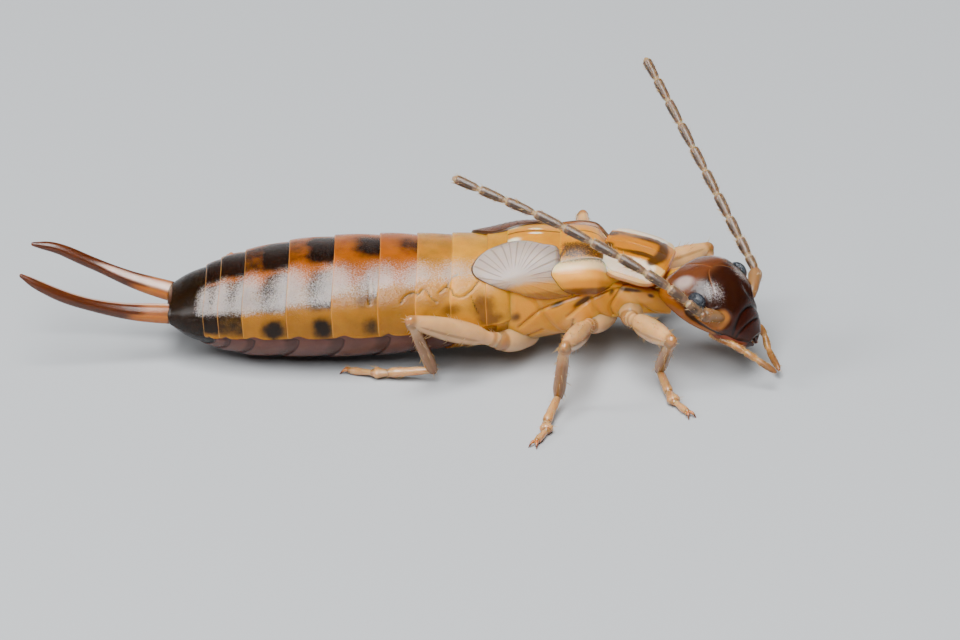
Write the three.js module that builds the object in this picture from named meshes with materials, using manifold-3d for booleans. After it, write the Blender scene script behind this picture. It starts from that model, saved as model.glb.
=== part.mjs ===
// A last-stage nymph of the common earwig at life size, in millimetres.
// The head points along +X, its left side is +Y, and it stands on the plane z = 0.
import * as THREE from "three";
import { mergeVertices } from "three/addons/utils/BufferGeometryUtils.js";
import Module from "manifold-3d";

const wasm = await Module();
wasm.setup();

// Clear space between two pieces that meet
const GAP = 0.05;

// Trunk: place along the body, half width, half height, height of its axis, and its bend to the left
const TRUNK = [
  { x: -4.36, width: 0.66, height: 0.27, axis: 0.93, side: 0 },
  { x: -4.11, width: 0.85, height: 0.44, axis: 0.92, side: 0 },
  { x: -3.7, width: 1.02, height: 0.64, axis: 0.93, side: 0 },
  { x: -3.42, width: 1.12, height: 0.76, axis: 0.95, side: 0 },
  { x: -2.96, width: 1.24, height: 0.88, axis: 0.975, side: 0 },
  { x: -2.13, width: 1.37, height: 0.985, axis: 1.055, side: 0 },
  { x: -1.28, width: 1.43, height: 1.03, axis: 1.105, side: 0 },
  { x: -0.42, width: 1.43, height: 1.035, axis: 1.14, side: 0 },
  { x: 0.94, width: 1.33, height: 0.98, axis: 1.22, side: 0 },
  { x: 1.59, width: 1.26, height: 0.98, axis: 1.27, side: 0 },
  { x: 2.21, width: 1.13, height: 1.04, axis: 1.39, side: 0 },
  { x: 2.96, width: 1.04, height: 0.99, axis: 1.46, side: 0 },
  { x: 3.72, width: 0.93, height: 0.86, axis: 1.5, side: 0 },
  { x: 4.0, width: 0.82, height: 0.68, axis: 1.46, side: 0 },
  { x: 4.47, width: 0.74, height: 0.52, axis: 1.4, side: -0.03 },
  { x: 5.05, width: 0.52, height: 0.42, axis: 1.3, side: -0.14 },
];
// Edges of the abdomen rings, from the tail forwards, and the three thorax rings in front of them
const ABDOMEN_EDGES = [-4.36, -3.7, -3.42, -2.96, -2.13, -1.28, -0.42, 0.28, 0.94, 1.59, 2.05];
const BLACK_TAIL_RINGS = 2; // how many of them, from the tail end, are nearly black
const THORAX_EDGES = { metathorax: [2.05, 2.96], mesothorax: [2.96, 3.95], prothorax: [3.95, 5.03] };
const RING_LIP = 0.035; // how far a ring's hind edge stands out over the next
const RING_TAPER = 1.5; // how many times that lip a ring narrows by towards its front edge
const TRUNK_SQUARENESS = 0.93; // 1 is an ellipse, less is boxier

// Pronotum: the shield over the prothorax, turned with the neck
const PRONOTUM = {
  centre: [4.46, -0.05, 2.22],
  yaw: -13,
  pitch: 12,
  roll: 0,
  halfLength: 0.66,
  halfWidth: 1,
  thickness: 0.42,
  rim: 0.2,
  rimNarrowness: 4,
  crown: 0.22,
  lengthwiseCrown: 0.35, // of the crown from side to side
  cornerRounding: 0.36,
};

// Wing pads: from the front edge to the tip along the body, and the angle above the horizontal that
// the outer and the inner margin lie at, on the side of the trunk
const PAD_THICKNESS = 0.42;
const PAD_TIP = { bluntness: 3.5, narrowing: 0.97, rise: 6 };
const PADS = {
  forewing_pad: {
    front: 4.02,
    tip: 2.72,
    outer: [14, 5],
    inner: [54, 50],
    lift: 0.1,
    veins: 4,
    vein: 0.015,
  },
  hindwing_pad: {
    front: 3.02,
    tip: 1.24,
    outer: [0, 20],
    inner: [66, 84],
    lift: 0.07,
    veins: 7,
    vein: 0.03,
  },
};

// Head: its frame stands midway between the eyes, and its outline goes from the occiput to the labrum
const HEAD = { centre: [5.885, -0.83, 1.6], yaw: -34.2, pitch: 24.8, roll: 6 };
const HEAD_OUTLINE = [
  { x: -0.92, width: 0.44, top: -0.2, bottom: -0.52 },
  { x: -0.82, width: 0.63, top: 0.0, bottom: -0.61 },
  { x: -0.65, width: 0.74, top: 0.2, bottom: -0.66 },
  { x: -0.42, width: 0.8, top: 0.37, bottom: -0.69 },
  { x: -0.1, width: 0.81, top: 0.46, bottom: -0.71 },
  { x: 0.25, width: 0.71, top: 0.43, bottom: -0.69 },
  { x: 0.5, width: 0.58, top: 0.3, bottom: -0.64 },
  { x: 0.7, width: 0.45, top: 0.12, bottom: -0.57 },
  { x: 0.92, width: 0.34, top: -0.09, bottom: -0.47 },
  { x: 1.06, width: 0.2, top: -0.24, bottom: -0.4 },
];
const EYE = { at: [-0.01, 0.61, 0.18], size: [0.18, 0.14, 0.21] };
// The suture runs along the crown and forks at the frame's centre, wider apart towards its front end
const SUTURE = { depth: 0.035, width: 0.06, fork: 0.18, spread: 1.2, front: 0.45 };

// Mouthparts, as joints in the head's frame, for the left side where both sides are alike
const MANDIBLE = {
  radii: [0.22, 0.2, 0.07],
  joints: [[0.5, 0.36, -0.4], [0.86, 0.28, -0.42], [1.1, 0.06, -0.45]],
};
const LABIAL_PALP = {
  radii: [0.12, 0.11, 0.08],
  joints: [[0.6, 0.16, -0.58], [0.86, 0.2, -0.62], [1.06, 0.22, -0.6]],
};
const MAXILLARY_PALP = {
  radii: [0.13, 0.12, 0.13, 0.12, 0.1],
  rings: 8,
  left: [
    [0.4, 0.4, -0.6],
    [0.82, 0.58, -0.58],
    [1.01, 0.6, -0.7],
    [1.22, 0.5, -0.81],
    [1.7, 0.2, -0.78],
  ],
  right: [
    [0.4, -0.38, -0.6],
    [0.92, -0.42, -0.4],
    [1.13, -0.38, -0.4],
    [1.38, -0.32, -0.43],
    [1.8, -0.22, -0.48],
  ],
};

// Antennae: the ring lengths from the third to the twelfth, and the way from the socket to the tip
const ANTENNA_RINGS = [0.36, 0.42, 0.5, 0.56, 0.57, 0.57, 0.59, 0.58, 0.53, 0.5];
const ANTENNA_SOCKET = [0.45, 0.54, 0.04];
const ANTENNAE = {
  left: { scapeEnd: [6.64, -0.1, 1.68], way: [[5.66, 1.66, 3.05], [4.62, 3.51, 4.41]] },
  right: { scapeEnd: [5.6, -1.84, 1.6], way: [[4.85, -1.62, 2.15], [3.0, -0.85, 2.95], [0.98, 0.0, 3.55]] },
};
const ANTENNA = { scape: 0.23, scapeBulge: 1.06, base: 0.22, tip: 0.14, taperPower: 3 };
// Along each ring: its narrow joint, then the widening from it, then its full width, each a share of them
const RING_SHAPE = { waist: 0.72, shoulderAt: 0.15, shoulder: 0.94, fullAt: 0.86 };
const ANTENNA_ENDS = { rootDome: 0.6, tipDome: 0.3 };

// Legs: where the coxa roots in the trunk, the joints down to the ankle, and the foot's three joints
const LEGS = {
  front: {
    radii: { coxa: 0.3, femur: 0.27, tibia: 0.22, tarsus: 0.17 },
    left: {
      upper: [[4.3, 0.3, 1.2], [4.35, 0.92, 1.1], [5.78, 1.64, 1.32], [5.74, 0.98, 0.3]],
      foot: [[5.92, 1.58, 0.15], [6.02, 1.9, 0.13], [6.24, 2.28, 0.1]],
    },
    right: {
      upper: [[4.3, -0.35, 1.2], [4.25, -0.92, 1.1], [5.0, -2.26, 1.28], [4.81, -1.5, 0.3]],
      foot: [[4.98, -2.1, 0.15], [5.08, -2.44, 0.13], [5.3, -2.8, 0.1]],
    },
  },
  middle: {
    radii: { coxa: 0.3, femur: 0.28, tibia: 0.23, tarsus: 0.17 },
    left: {
      upper: [[3.75, 0.45, 0.95], [3.5, 0.92, 0.95], [3.42, 2.8, 1.46], [3.3, 2.55, 0.32]],
      foot: [[3.1, 3.28, 0.16], [3.06, 3.56, 0.13], [2.9, 3.92, 0.1]],
    },
    right: {
      upper: [[3.78, -0.45, 0.95], [3.5, -0.92, 0.95], [3.02, -2.98, 1.5], [2.91, -2.62, 0.32]],
      foot: [[2.68, -3.34, 0.16], [2.68, -3.62, 0.13], [2.5, -4.0, 0.1]],
    },
  },
  hind: {
    radii: { coxa: 0.34, femur: 0.26, tibia: 0.21, tarsus: 0.17 },
    left: {
      upper: [[2.3, 0.5, 0.6], [1.83, 1.16, 0.74], [-0.28, 2.06, 0.95], [-1.92, 2.96, 0.3]],
      foot: [[-2.66, 3.46, 0.17], [-2.88, 3.62, 0.14], [-3.3, 3.9, 0.1]],
    },
    right: {
      upper: [[2.3, -0.5, 0.6], [1.83, -1.16, 0.74], [0.17, -2.13, 1.62], [0.57, -1.42, 0.26]],
      foot: [[-0.28, -1.3, 0.17], [-0.54, -1.26, 0.15], [-0.98, -1.08, 0.1]],
    },
  },
};
// How thick each part of a leg is along its length, as shares of its radius
const LEG_SHAPE = { coxa: [1, 1, 0.8], femur: [0.8, 1, 1, 0.85], tibia: [1, 0.92, 1] };
const FOOT_SHAPE = { first: [1, 0.86, 1], heel: [0.9, 1.1], last: [0.7, 0.62, 0.7] };
const CLAW = { length: 0.2, spread: 24, drop: 0.07, radius: 0.06, bendAt: 0.6, point: 0.5 };

// Forceps: the middle line of each arm from the tail end to its tip, and the radius along it
const FORCEPS = {
  radii: [0.23, 0.2, 0.18, 0.15, 0.07],
  rings: 8,
  left: [
    [-4.2, 0.42, 0.95],
    [-5.1, 0.54, 1.19],
    [-5.9, 0.66, 1.5],
    [-6.55, 0.7, 1.78],
    [-6.98, 0.7, 1.86],
  ],
  right: [
    [-4.2, -0.42, 0.93],
    [-5.3, -0.55, 1.08],
    [-6.2, -0.66, 1.36],
    [-6.8, -0.7, 1.66],
    [-7.13, -0.7, 1.87],
  ],
};

// How finely each kind of form is faceted
const SIDES = { trunk: 32, head: 26, eye: 12, limb: 12, antenna: 8, palp: 8, claw: 5 };
const HEAD_RINGS = 14;
const EYE_RINGS = 8;
const RING_STEPS = 3; // along a trunk ring
const PRONOTUM_STEPS = [8, 10]; // along and across
const PAD_STEPS = 10; // along a pad, and two for each vein across it
const CURVE_STEPS = 64; // samples along a limb's middle line
const SMALLEST_EDGE = 0.004; // shorter ones are merged away

const finish = (color, roughness) => new THREE.MeshStandardMaterial({ color, roughness, metalness: 0 });
const MATERIALS = {
  head: finish("#3a1a10", 0.3),
  eye: finish("#16202c", 0.2),
  mouth: finish("#7a4a22", 0.4),
  antenna: finish("#6b5a48", 0.5),
  thorax: finish("#c98f45", 0.35),
  pad: finish("#d9b77c", 0.3),
  abdomen: finish("#8a5424", 0.35),
  tail: finish("#1d0f0b", 0.3),
  forceps: finish("#8a4a26", 0.3),
  leg: finish("#d8bd93", 0.4),
};

const radians = THREE.MathUtils.degToRad;
const point = (place) => new THREE.Vector3(...place);
const mirrored = ([x, y, z], side) => [x, side === "left" ? y : -y, z];

// A smooth rule through rows of named numbers, read at any x
function through(rows) {
  const keys = Object.keys(rows[0]).filter((key) => key !== "x");
  const samples = rows.flatMap((row) => keys.map((key) => row[key]));
  const curve = new THREE.CubicInterpolant(rows.map((row) => row.x), samples, keys.length);
  return (x) => {
    const values = curve.evaluate(x);
    return Object.fromEntries(keys.map((key, i) => [key, values[i]]));
  };
}

// A frame at a place, turned about Z, tipped nose down and rolled with the left side up
function turned({ centre, yaw, pitch, roll }) {
  const turn = new THREE.Euler(radians(roll), radians(pitch), radians(yaw), "ZYX");
  return new THREE.Matrix4().makeRotationFromEuler(turn).setPosition(...centre);
}

// The closed solid of a plain geometry whose every vertex is moved by a rule
function formed(geometry, place) {
  geometry.deleteAttribute("normal");
  geometry.deleteAttribute("uv");
  const spot = new THREE.Vector3();
  const positions = geometry.attributes.position;
  for (let i = 0; i < positions.count; i++) {
    const moved = place(spot.fromBufferAttribute(positions, i));
    positions.setXYZ(i, moved.x, moved.y, moved.z);
  }
  const merged = mergeVertices(geometry, 1e-4);
  const corners = Array.from(merged.index.array);
  const vertProperties = merged.attributes.position.array;
  const solidFrom = (triVerts) =>
    new wasm.Manifold(new wasm.Mesh({ numProp: 3, vertProperties, triVerts }));
  const solid = solidFrom(new Uint32Array(corners));
  return solid.volume() > 0 ? solid : solidFrom(new Uint32Array(corners.reverse()));
}

const trunkAt = through(TRUNK);

// A point of the trunk's skin: angle 0 is the left side and 90 degrees the back
function onTrunk(x, angle, out = 0) {
  const { width, height, axis, side } = trunkAt(x);
  const across = Math.sign(Math.cos(angle)) * Math.abs(Math.cos(angle)) ** TRUNK_SQUARENESS;
  const up = Math.sign(Math.sin(angle)) * Math.abs(Math.sin(angle)) ** TRUNK_SQUARENESS;
  return new THREE.Vector3(x, side + across * (width + out), axis + up * (height + out));
}

// One ring of the trunk, from its hind to its front edge, a little wider at the hind edge
function trunkRing(hind, front, grow) {
  const barrel = new THREE.CylinderGeometry(1, 1, 1, SIDES.trunk, RING_STEPS);
  const margin = GAP / 2 - grow;
  return formed(barrel, (v) => {
    const along = v.y + 0.5;
    const x = THREE.MathUtils.lerp(hind + margin, front - margin, along);
    const { axis, side } = trunkAt(x);
    if (Math.hypot(v.x, v.z) < 0.5) return new THREE.Vector3(x, side, axis);
    const lip = RING_LIP * (1 - RING_TAPER * along);
    return onTrunk(x, Math.atan2(v.x, v.z), lip + grow);
  });
}

// A rod round a curve, given as the radius at places along it, which may lie past its ends
function rod(curve, rings, sides, grow = 0) {
  const length = curve.getLength();
  const frames = curve.computeFrenetFrames(CURVE_STEPS);
  const poles = { start: rings[0].at, end: rings.at(-1).at };
  const inner = rings.slice(1, -1);
  const ball = new THREE.SphereGeometry(1, sides, inner.length + 1);
  return formed(ball, (v) => {
    const row = Math.round((Math.acos(THREE.MathUtils.clamp(v.y, -1, 1)) / Math.PI) * (inner.length + 1));
    const pole = row === 0 ? poles.start - grow : row > inner.length ? poles.end + grow : null;
    const at = pole ?? inner[row - 1].at;
    const onCurve = THREE.MathUtils.clamp(at / length, 0, 1);
    const frame = Math.round(onCurve * CURVE_STEPS);
    const spot = curve.getPointAt(onCurve).addScaledVector(frames.tangents[frame], at - onCurve * length);
    if (pole !== null) return spot;
    const turn = Math.hypot(v.x, v.z);
    const radius = inner[row - 1].radius + grow;
    spot.addScaledVector(frames.normals[frame], (radius * v.x) / turn);
    return spot.addScaledVector(frames.binormals[frame], (radius * v.z) / turn);
  });
}

// Rings for a limb with a dome round its first and last joint, its radius read from evenly spaced values
function domedRings(length, radii, steps) {
  const radiusAt = through(radii.map((radius, i) => ({ x: i / (radii.length - 1), radius })));
  const [first, last] = [radii[0], radii.at(-1)];
  const dome = Math.SQRT1_2;
  const rings = [{ at: -first, radius: 0 }, { at: -first * dome, radius: first * dome }];
  for (let i = 0; i <= steps; i++) rings.push({ at: (i / steps) * length, ...radiusAt(i / steps) });
  rings.push({ at: length + last * dome, radius: last * dome }, { at: length + last, radius: 0 });
  return rings;
}

// A limb piece through its joints
function limb(joints, radii, sides, grow = 0, steps = radii.length - 1) {
  const curve = new THREE.CatmullRomCurve3(joints.map(point), false, "centripetal");
  return rod(curve, domedRings(curve.getLength(), radii, steps), sides, grow);
}

// The pieces, each with its colour, its solid grown by any amount, and the pieces it keeps clear of
const pieces = new Map();
function piece(name, material, solid, clearOf = []) {
  pieces.set(name, { material, solid, clearOf });
}

// Thorax rings and the abdomen, numbered from the thorax back to the tail
for (const [name, [hind, front]] of Object.entries(THORAX_EDGES)) {
  piece(name, MATERIALS.thorax, (grow) => trunkRing(hind, front, grow));
}
for (let ring = 1; ring < ABDOMEN_EDGES.length; ring++) {
  const [hind, front] = ABDOMEN_EDGES.slice(ring - 1, ring + 1);
  const name = `abdomen_${ABDOMEN_EDGES.length - ring}`;
  const material = ring <= BLACK_TAIL_RINGS ? MATERIALS.tail : MATERIALS.abdomen;
  piece(name, material, (grow) => trunkRing(hind, front, grow));
}

// The pronotum, a crowned shield with round corners
function pronotum(grow) {
  const frame = turned(PRONOTUM);
  const plate = new THREE.BoxGeometry(2, 2, 1, ...PRONOTUM_STEPS, 1);
  return formed(plate, (v) => {
    const pulledIn = (w) => Math.sqrt(1 - PRONOTUM.cornerRounding * w * w);
    const along = v.x * pulledIn(v.y) * (PRONOTUM.halfLength + grow);
    const across = v.y * pulledIn(v.x) * (PRONOTUM.halfWidth + grow);
    const rim = Math.max(Math.abs(v.x), Math.abs(v.y)) ** PRONOTUM.rimNarrowness;
    const thickness = THREE.MathUtils.lerp(PRONOTUM.thickness, PRONOTUM.rim, rim);
    const depth = v.z > 0 ? grow : -thickness - grow;
    const droop = PRONOTUM.crown * (v.y * v.y + PRONOTUM.lengthwiseCrown * v.x * v.x);
    return new THREE.Vector3(along, across, depth - droop).applyMatrix4(frame);
  });
}
piece("pronotum", MATERIALS.thorax, pronotum);

// A wing pad, a flap on the side of the trunk with a round tip and a fan of raised veins
function wingPad({ front, tip, outer, inner, lift, veins, vein }, side, grow) {
  const rows = grow ? veins : veins * 2;
  const flap = new THREE.BoxGeometry(1, 1, 1, PAD_STEPS, rows, 1);
  return formed(flap, (v) => {
    const along = Math.sin(((v.x + 0.5) * Math.PI) / 2);
    const across = v.y + 0.5;
    const x = THREE.MathUtils.lerp(front + grow, tip - grow, along);
    const low = THREE.MathUtils.lerp(outer[0], outer[1], along);
    const high = THREE.MathUtils.lerp(inner[0], inner[1], along);
    const roundness = Math.sqrt(1 - PAD_TIP.narrowing * along ** PAD_TIP.bluntness);
    const middle = (low + high) / 2 + PAD_TIP.rise * along;
    const half = ((high - low) / 2) * roundness;
    const spread = (grow / trunkAt(x).width) * (2 * across - 1);
    const angle = radians(middle + half * (2 * across - 1)) + spread;
    const ridge = Math.round(across * rows) % 2 && !grow ? 0 : vein;
    const out = v.z > 0 ? lift + ridge + grow : lift - PAD_THICKNESS - grow;
    return onTrunk(x, side === "left" ? angle : Math.PI - angle, out);
  });
}
for (const [name, pad] of Object.entries(PADS)) {
  for (const side of ["left", "right"]) {
    const clearOf = name === "hindwing_pad" ? [`forewing_pad_${side}`] : ["pronotum"];
    piece(`${name}_${side}`, MATERIALS.pad, (grow) => wingPad(pad, side, grow), clearOf);
  }
}

// The head capsule with its forked suture
const headFrame = turned(HEAD);
const inHead = (place) => point(place).applyMatrix4(headFrame).toArray();
const headAt = through(HEAD_OUTLINE);

function headCapsule(grow) {
  const first = HEAD_OUTLINE[0].x;
  const last = HEAD_OUTLINE.at(-1).x;
  const ball = new THREE.SphereGeometry(1, SIDES.head, HEAD_RINGS);
  return formed(ball, (v) => {
    const share = (1 - v.y) / 2;
    const x = THREE.MathUtils.lerp(first - grow, last + grow, share);
    const { width, top, bottom } = headAt(x);
    const turn = Math.hypot(v.x, v.z);
    const middle = (top + bottom) / 2;
    if (turn < 1e-6) return new THREE.Vector3(x, 0, middle).applyMatrix4(headFrame);
    const side = (v.x / turn) * (width + grow);
    const up = (v.z / turn) * ((top - bottom) / 2 + grow);
    const pastFork = Math.max(0, x);
    const seamAt = pastFork * (SUTURE.fork + SUTURE.spread * pastFork);
    const onSeam = Math.abs(Math.abs(side) - seamAt) < SUTURE.width;
    const seam = v.z > 0 && x < SUTURE.front && onSeam;
    return new THREE.Vector3(x, side, middle + up - (seam ? SUTURE.depth : 0)).applyMatrix4(headFrame);
  });
}
piece("head", MATERIALS.head, headCapsule, ["eye_left", "eye_right", "pronotum"]);

// The eyes, and the mouthparts under the front of the head
function eye(side, grow) {
  const ball = new THREE.SphereGeometry(1, SIDES.eye, EYE_RINGS);
  const size = point(EYE.size).addScalar(grow);
  const middle = point(mirrored(EYE.at, side));
  return formed(ball, (v) => v.multiply(size).add(middle).applyMatrix4(headFrame));
}
function mouthpart(joints, radii, steps) {
  const placed = joints.map(inHead);
  return (grow) => limb(placed, radii, SIDES.palp, grow, steps);
}
for (const side of ["left", "right"]) {
  const half = (joints) => joints.map((joint) => mirrored(joint, side));
  const others = ["head"];
  const mouth = {
    mandible: mouthpart(half(MANDIBLE.joints), MANDIBLE.radii),
    labial_palp: mouthpart(half(LABIAL_PALP.joints), LABIAL_PALP.radii),
    maxillary_palp: mouthpart(MAXILLARY_PALP[side], MAXILLARY_PALP.radii, MAXILLARY_PALP.rings),
  };
  piece(`eye_${side}`, MATERIALS.eye, (grow) => eye(side, grow));
  for (const [part, solid] of Object.entries(mouth)) {
    piece(`${part}_${side}`, MATERIALS.mouth, solid, [...others]);
    others.push(`${part}_${side}`);
  }
}
pieces.get("mandible_right").clearOf.push("mandible_left");

// The neck between the prothorax and the head
const NECK = { joints: [[4.85, -0.1, 1.25], inHead([-0.7, 0, -0.42])], radii: [0.3, 0.3] };
piece("neck", MATERIALS.thorax, (grow) => limb(NECK.joints, NECK.radii, SIDES.limb, grow), [
  "prothorax",
  "head",
  "pronotum",
]);

// The antennae: a stout scape, then rings that are narrow at their joints
function flagellum(side, grow) {
  const { scapeEnd, way } = ANTENNAE[side];
  const curve = new THREE.CatmullRomCurve3([scapeEnd, ...way].map(point), false, "centripetal");
  const total = curve.getLength();
  const scale = total / ANTENNA_RINGS.reduce((sum, ring) => sum + ring, 0);
  const rings = [{ at: -ANTENNA.base * ANTENNA_ENDS.rootDome, radius: 0 }];
  let start = 0;
  for (const ring of ANTENNA_RINGS) {
    const radius = THREE.MathUtils.lerp(ANTENNA.base, ANTENNA.tip, (start / total) ** ANTENNA.taperPower);
    const length = ring * scale;
    rings.push({ at: start, radius: radius * RING_SHAPE.waist });
    rings.push({ at: start + RING_SHAPE.shoulderAt * length, radius: radius * RING_SHAPE.shoulder });
    rings.push({ at: start + RING_SHAPE.fullAt * length, radius });
    start += length;
  }
  rings.push({ at: total, radius: ANTENNA.tip * RING_SHAPE.waist });
  rings.push({ at: total + ANTENNA.tip * ANTENNA_ENDS.tipDome, radius: 0 });
  return rod(curve, rings, SIDES.antenna, grow);
}
for (const side of ["left", "right"]) {
  const joints = [inHead(mirrored(ANTENNA_SOCKET, side)), ANTENNAE[side].scapeEnd];
  const radii = [ANTENNA.scape, ANTENNA.scape * ANTENNA.scapeBulge, ANTENNA.scape];
  const scape = (grow) => limb(joints, radii, SIDES.antenna, grow);
  const beside = ["head", `eye_${side}`];
  piece(`antenna_scape_${side}`, MATERIALS.antenna, scape, beside);
  piece(`antenna_flagellum_${side}`, MATERIALS.antenna, (grow) => flagellum(side, grow), [
    `antenna_scape_${side}`,
    ...beside,
  ]);
}

// A foot: three tarsal joints, the second a lobed heel, and two claws, standing on the floor
function tarsus(ankle, [firstEnd, secondEnd, clawBase], radius, grow) {
  const tube = (joints, thick) => limb(joints, thick.map((share) => share * radius), SIDES.palp, grow);
  const first = tube([ankle, firstEnd], FOOT_SHAPE.first);
  const heel = tube([firstEnd, secondEnd], FOOT_SHAPE.heel);
  const last = tube([secondEnd, clawBase], FOOT_SHAPE.last);
  const heading = point(clawBase).sub(point(secondEnd)).setZ(0).normalize();
  const claws = [-1, 1].map((way) => {
    const turn = heading.clone().applyAxisAngle(new THREE.Vector3(0, 0, 1), radians(CLAW.spread * way));
    const bend = point(clawBase).addScaledVector(turn, CLAW.length * CLAW.bendAt).toArray();
    const tip = point(clawBase).addScaledVector(turn, CLAW.length).setZ(clawBase[2] - CLAW.drop).toArray();
    const thick = [CLAW.radius, CLAW.radius, CLAW.radius * CLAW.point];
    return limb([clawBase, bend, tip], thick, SIDES.claw, grow);
  });
  return first.add(heel).add(last).add(claws[0]).add(claws[1]).trimByPlane([0, 0, 1], 0);
}

const RING_OVER_LEG = { front: "prothorax", middle: "mesothorax", hind: "metathorax" };
for (const [pair, { radii, ...sides }] of Object.entries(LEGS)) {
  for (const [side, { upper, foot }] of Object.entries(sides)) {
    const [root, trochanter, knee, ankle] = upper;
    const trunk = [RING_OVER_LEG[pair], "prothorax", "mesothorax", "metathorax", "abdomen_1", "abdomen_2"];
    const covers = ["pronotum", `forewing_pad_${side}`, `hindwing_pad_${side}`];
    const body = [...trunk, ...covers];
    const parts = {
      coxa: { joints: [root, trochanter], clearOf: body },
      femur: { joints: [trochanter, knee], clearOf: [...body, "abdomen_3"] },
      tibia: { joints: [knee, ankle], clearOf: ["abdomen_3", "abdomen_4"] },
    };
    let above = [];
    for (const [part, { joints, clearOf }] of Object.entries(parts)) {
      const name = `leg_${pair}_${side}_${part}`;
      const along = LEG_SHAPE[part].map((share) => share * radii[part]);
      piece(name, MATERIALS.leg, (grow) => limb(joints, along, SIDES.limb, grow), [...above, ...clearOf]);
      above = [name];
    }
    const beside = ["abdomen_4", "abdomen_5", "abdomen_6"];
    const walks = (grow) => tarsus(ankle, foot, radii.tarsus, grow);
    piece(`leg_${pair}_${side}_tarsus`, MATERIALS.leg, walks, [...above, ...beside]);
  }
}

// The forceps at the tail end
for (const side of ["left", "right"]) {
  const arm = (grow) => limb(FORCEPS[side], FORCEPS.radii, SIDES.limb, grow, FORCEPS.rings);
  piece(`forceps_${side}`, MATERIALS.forceps, arm, ["abdomen_10"]);
}

// The thorax and the first abdomen rings are hollowed where the shield and the pads lie on them
const COVERS = ["pronotum", ...Object.keys(PADS).flatMap((pad) => [`${pad}_left`, `${pad}_right`])];
for (const name of ["prothorax", "mesothorax", "metathorax", "abdomen_1", "abdomen_2"]) {
  pieces.get(name).clearOf.push(...COVERS);
}

// Each piece less the room round those it keeps clear of, as one closed surface
function cut({ solid, clearOf }) {
  let whole = solid(0);
  for (const name of new Set(clearOf)) whole = whole.subtract(pieces.get(name).solid(GAP));
  const bodies = whole.simplify(SMALLEST_EDGE).decompose();
  return bodies.reduce((largest, body) => (body.volume() > largest.volume() ? body : largest));
}

function meshOf(name, material, solid) {
  const { vertProperties, triVerts } = solid.getMesh();
  const geometry = new THREE.BufferGeometry();
  geometry.setAttribute("position", new THREE.BufferAttribute(vertProperties, 3));
  geometry.setIndex(new THREE.BufferAttribute(triVerts, 1));
  geometry.computeVertexNormals();
  const mesh = new THREE.Mesh(geometry, material);
  mesh.name = name;
  return mesh;
}

const earwig = new THREE.Group();
for (const [name, made] of pieces) earwig.add(meshOf(name, made.material, cut(made)));

// The origin is on the floor under the middle of the whole animal
const box = new THREE.Box3().setFromObject(earwig);
const middle = box.getCenter(new THREE.Vector3());
earwig.position.set(-middle.x, -middle.y, -box.min.z);

export default earwig;
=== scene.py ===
import math

import bmesh
import bpy
import numpy as np
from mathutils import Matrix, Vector


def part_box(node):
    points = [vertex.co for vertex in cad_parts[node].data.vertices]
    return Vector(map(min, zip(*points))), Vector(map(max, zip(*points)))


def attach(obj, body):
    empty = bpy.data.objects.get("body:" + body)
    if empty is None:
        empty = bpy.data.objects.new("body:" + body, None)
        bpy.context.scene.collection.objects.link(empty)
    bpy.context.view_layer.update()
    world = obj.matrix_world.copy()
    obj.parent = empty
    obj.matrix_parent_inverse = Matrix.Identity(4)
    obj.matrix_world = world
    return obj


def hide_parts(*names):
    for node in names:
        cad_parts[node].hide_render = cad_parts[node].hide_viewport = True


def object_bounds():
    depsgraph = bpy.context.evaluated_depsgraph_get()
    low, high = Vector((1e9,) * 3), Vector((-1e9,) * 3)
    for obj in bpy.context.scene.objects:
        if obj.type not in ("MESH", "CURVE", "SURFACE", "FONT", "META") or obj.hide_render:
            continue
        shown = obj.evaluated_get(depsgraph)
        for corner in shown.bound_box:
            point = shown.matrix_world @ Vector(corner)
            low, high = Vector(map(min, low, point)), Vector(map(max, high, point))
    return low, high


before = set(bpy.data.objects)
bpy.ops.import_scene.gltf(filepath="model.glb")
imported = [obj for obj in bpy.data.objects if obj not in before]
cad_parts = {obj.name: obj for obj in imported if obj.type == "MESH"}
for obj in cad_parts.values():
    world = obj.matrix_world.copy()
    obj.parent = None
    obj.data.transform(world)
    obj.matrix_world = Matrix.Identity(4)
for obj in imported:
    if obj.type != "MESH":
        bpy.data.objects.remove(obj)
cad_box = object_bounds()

# The stand: a pale matt table top, large soft lamps, and a long lens that looks down on the animal's
# right side. Places are in millimetres from a point on the table under the fourth abdomen ring.
FIFTH_RING_FRONT = -0.445
low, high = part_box("abdomen_5")
SHIFT = np.array([high.x * 1000 - FIFTH_RING_FRONT, (low.y + high.y) * 500, 0.0])
LOOK_AT = (1.453, 0.0, 0.608)
LENS_DISTANCE = 150.9
LENS_HEIGHT = math.radians(26)
# In metres: just under the feet, so that no face of theirs lies in it.
TABLE_LEVEL = -2e-6


def metres(places):
    """Places in millimetres as places in the model's frame, in metres."""
    return (np.asarray(places, float) + SHIFT) * 0.001


def put(data, name, place, target):
    """A camera or lamp at a place, turned to face another."""
    thing = bpy.data.objects.new(name, data)
    bpy.context.scene.collection.objects.link(thing)
    spot = Vector(metres(place))
    thing.location = spot
    thing.rotation_euler = (Vector(metres(target)) - spot).to_track_quat("-Z", "Y").to_euler()
    return thing


def colour(code):
    """An sRGB hex code as linear red, green, blue and alpha."""
    parts = [int(code[i : i + 2], 16) / 255 for i in (1, 3, 5)]
    return [c / 12.92 if c <= 0.04045 else ((c + 0.055) / 1.055) ** 2.4 for c in parts] + [1.0]


def add(tree, kind, inputs=None, **settings):
    """Adds a node, sets its properties, and sets or links its inputs."""
    node = tree.nodes.new(kind)
    for name, value in settings.items():
        setattr(node, name, value)
    for name, value in (inputs or {}).items():
        if isinstance(value, bpy.types.NodeSocket):
            tree.links.new(value, node.inputs[name])
        else:
            node.inputs[name].default_value = value
    return node


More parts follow.
